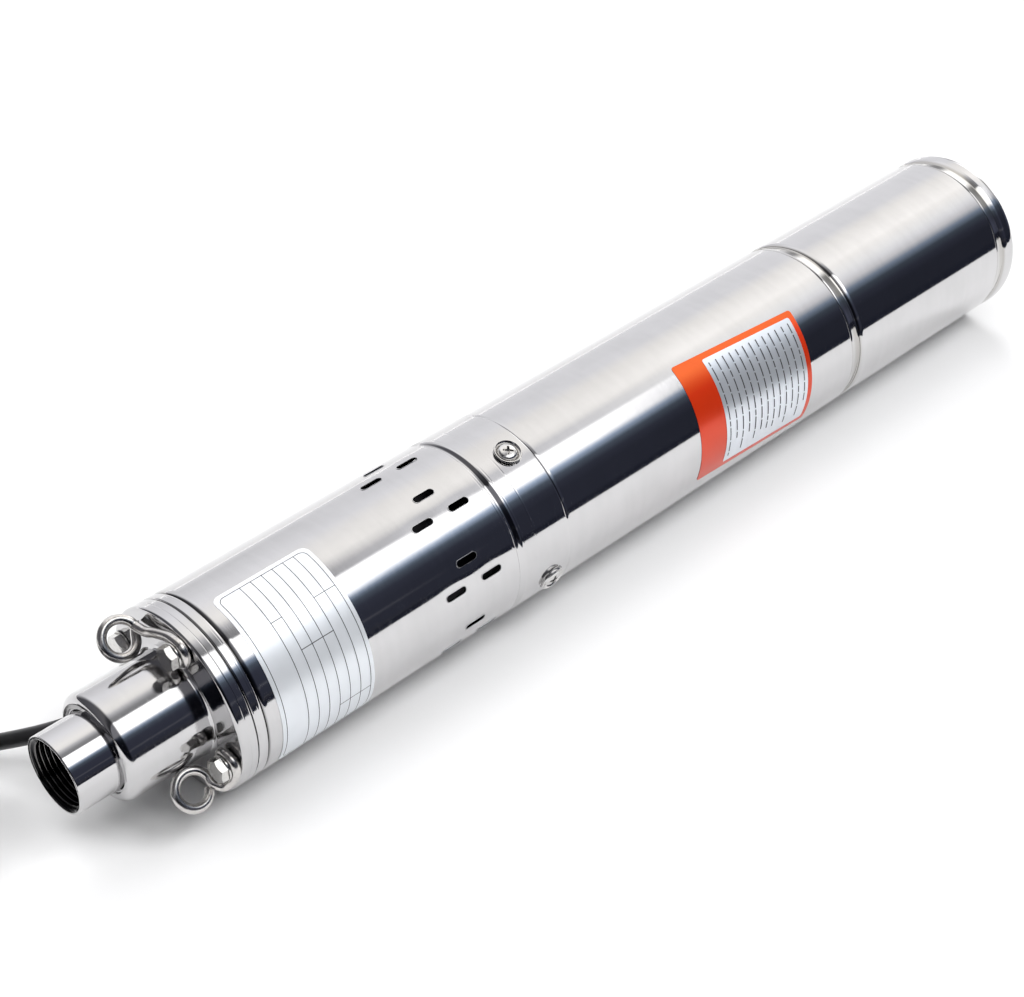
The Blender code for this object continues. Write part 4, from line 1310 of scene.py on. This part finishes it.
def make_world():
    """What the steel mirrors over the floor: light overhead and behind, the dark in front.

    It has four ramps round the pump's axis. A mirrored ray reads the head's ramp where it leans
    towards the mouth, then the middle's, the far one, the one beyond the foot, and the far one
    again where it runs almost along the axis.
    """
    world = bpy.data.worlds.new("studio")
    bpy.context.scene.world = world
    n = Nodes(world, bare=True)
    generated = n.add("ShaderNodeTexCoord").outputs["Generated"]
    x, y, z = n.add("ShaderNodeSeparateXYZ", Vector=generated).outputs
    turn = n.math("ARCTAN2", n.times(y, -1.0), z)
    share = n.plus(n.math("DIVIDE", turn, 2 * pi), 0.5)
    head = n.ramp(
        share,
        ((-100, 0.95), (-81, 0.76), (-65, 0.87), (-45, 1.02), COOL),
        ((-17, 1.12), (-9, 1.05), WARM),
        ((-1, 0.6), (6, 0.32), (14, 0.25), COOL),
        ((16, 2.0), (39, 2.0), WHITE),
        ((44, 0.4), (50, 0.1), DUSK),
        ((58, 0.045), (86, 0.035), NIGHT),
        ((94, 0.05), EMBER),
        ((120, 0.04), NIGHT),
    )
    middle = n.ramp(
        share,
        ((-100, 0.95), (-81, 0.88), (-65, 0.89), (-49, 0.96), COOL),
        ((-33, 1.05), (-9, 1.17), (-1, 1.1), WARM),
        ((7, 0.82), (15, 0.85), COOL),
        ((18, 2.0), (34, 2.0), WHITE),
        ((40, 0.62), (47, 0.12), DUSK),
        ((56, 0.04), (66, 0.03), (120, 0.03), NIGHT),
    )
    far = n.ramp(
        share,
        ((-100, 0.95), (-81, 0.9), (-49, 0.93), COOL),
        ((-33, 1.08), (-17, 1.22), (-5, 1.3), (1, 1.2), WARM),
        ((15, 1.1), WHITE),
        ((23, 0.97), (31, 0.74), COOL),
        ((39, 0.27), (47, 0.07), DUSK),
        ((56, 0.035), (66, 0.024), (120, 0.022), NIGHT),
    )
    beyond = n.ramp(
        share,
        ((-88, 0.75), (-81, 0.4), (-71, 0.35), (-65, 0.5), COOL),
        ((-60, 0.95), (-54, 1.7), (-48, 1.9), (-14, 1.9), (-8, 1.1), (-3, 0.4), WHITE),
        ((4, 0.33), (25, 0.5), (38, 0.4), WHITE),
        ((44, 0.2), (51, 0.09), DUSK),
        ((63, 0.06), (76, 0.08), (120, 0.07), NIGHT),
    )
    changes = ((0.4, 0.53, middle), (0.56, 0.64, far), (0.765, 0.8, beyond), (0.91, 0.94, far))
    lit = head
    for low, high, following in changes:
        lit = n.mix(n.band(x, low, high, smooth=True), lit, following)
    # A thin bar of light low in the dark, on the mouth's side
    off = n.math("DIVIDE", n.math("SUBTRACT", turn, radians(75.0)), radians(1.3))
    bar = n.math("EXPONENT", n.times(n.times(off, off), -1.0))
    bar = n.times(bar, n.band(x, 0.46, 0.5, 0.011, 0.0, smooth=True))
    lit = n.mix(1.0, lit, bar, "ADD")
    # The room is dark beyond the mouth
    lit = n.mix(n.band(x, -0.3, 0.12, 1.0, 0.0, smooth=True), lit, (0.11, 0.11, 0.12), "MULTIPLY")
    background = n.add("ShaderNodeBackground", Color=lit, Strength=STUDIO_STRENGTH)
    n.add("ShaderNodeOutputWorld", Surface=background.outputs[0])
    world.cycles_visibility.diffuse = False
    world.cycles.sampling_method = "MANUAL"
    world.cycles.sample_map_resolution = 1024


def make_lamp(name, place, power):
    """A wide soft lamp aimed at the ground under the pump; the steel doesn't mirror it."""
    lamp = bpy.data.lights.new(name, "AREA")
    lamp.shape = "RECTANGLE"
    lamp.size = lamp.size_y = LAMP_SIZE
    lamp.energy = power
    lamp.color = (1.0, 0.99, 0.98)
    holder = show(name, lamp)
    holder.location = place
    holder.rotation_euler = Vector(place).to_track_quat("Z", "Y").to_euler()
    holder.visible_glossy = holder.visible_camera = False


def make_camera():
    """The camera, from its heading and its pitch."""
    camera = bpy.data.cameras.new("camera")
    camera.lens = CAMERA_LENS
    camera.sensor_width = 36.0
    camera.clip_end = 100.0
    holder = show("camera", camera)
    level = Vector((cos(CAMERA_HEADING), sin(CAMERA_HEADING), 0.0))
    forward = level * cos(CAMERA_PITCH) - UP * sin(CAMERA_PITCH)
    right = forward.cross(UP).normalized()
    axes = Matrix((right, right.cross(forward), -forward)).transposed().to_4x4()
    holder.matrix_world = Matrix.Translation(CAMERA_PLACE) @ axes
    bpy.context.scene.camera = holder


make_camera()
make_cable()

make_socket()
make_head(
    turned_steel("polished_steel", gloss=0.075),
    turned_steel("ring_steel", seed=0.9, grime_and_shade_tint=JOINT_GRIME_AND_SHADE),
)
make_bolts(wire_steel("bolt_steel", (0.68, 0.67, 0.65), 0.16))
eye_steel = wire_steel("eye_steel", (0.64, 0.62, 0.6), 0.18)
make_lifting_eye("rope_eye_upper", "lifting_eye_upper", eye_steel, **UPPER_EYE)
make_lifting_eye("rope_eye_lower", "lifting_eye_lower", eye_steel, **LOWER_EYE)
make_casing(
    turned_steel("casing_steel", gloss=0.055, seed=0.4, grime_and_shade_tint=JOINT_GRIME_AND_SHADE, dented=True),
    wire_steel("rim_steel", (0.68, 0.68, 0.69), 0.3),
)
make_joint(
    turned_steel("sleeve_steel", gloss=0.055, seed=0.7),
    wire_steel("screw_steel", (0.68, 0.67, 0.66), 0.12),
)
make_motor(
    turned_steel("motor_steel", gloss=0.06, streak=0.05, seed=1.3),
    turned_steel("foot_steel", gloss=0.055, streak=0.05, seed=2.1, grime_and_shade_tint=GROOVE_SHADE),
)
make_rating_label()
make_info_label()
make_floor()
make_world()
for name, place, power in (
    ("key_lamp", (0.8, -1.39, 2.29), 60.0),
    ("front_lamp", (-0.8, -1.39, 2.29), 15.0),
    ("left_lamp", (-0.83, -0.48, 2.63), 18.0),
    ("top_lamp", (0.0, 0.96, 2.63), 21.0),
    ("rear_lamp", (-1.51, 0.55, 2.29), 20.0),
    ("back_lamp", (1.15, 1.99, 1.61), 41.0),
):
    make_lamp(name, place, power)
bpy.context.scene.view_settings.view_transform = "Standard"
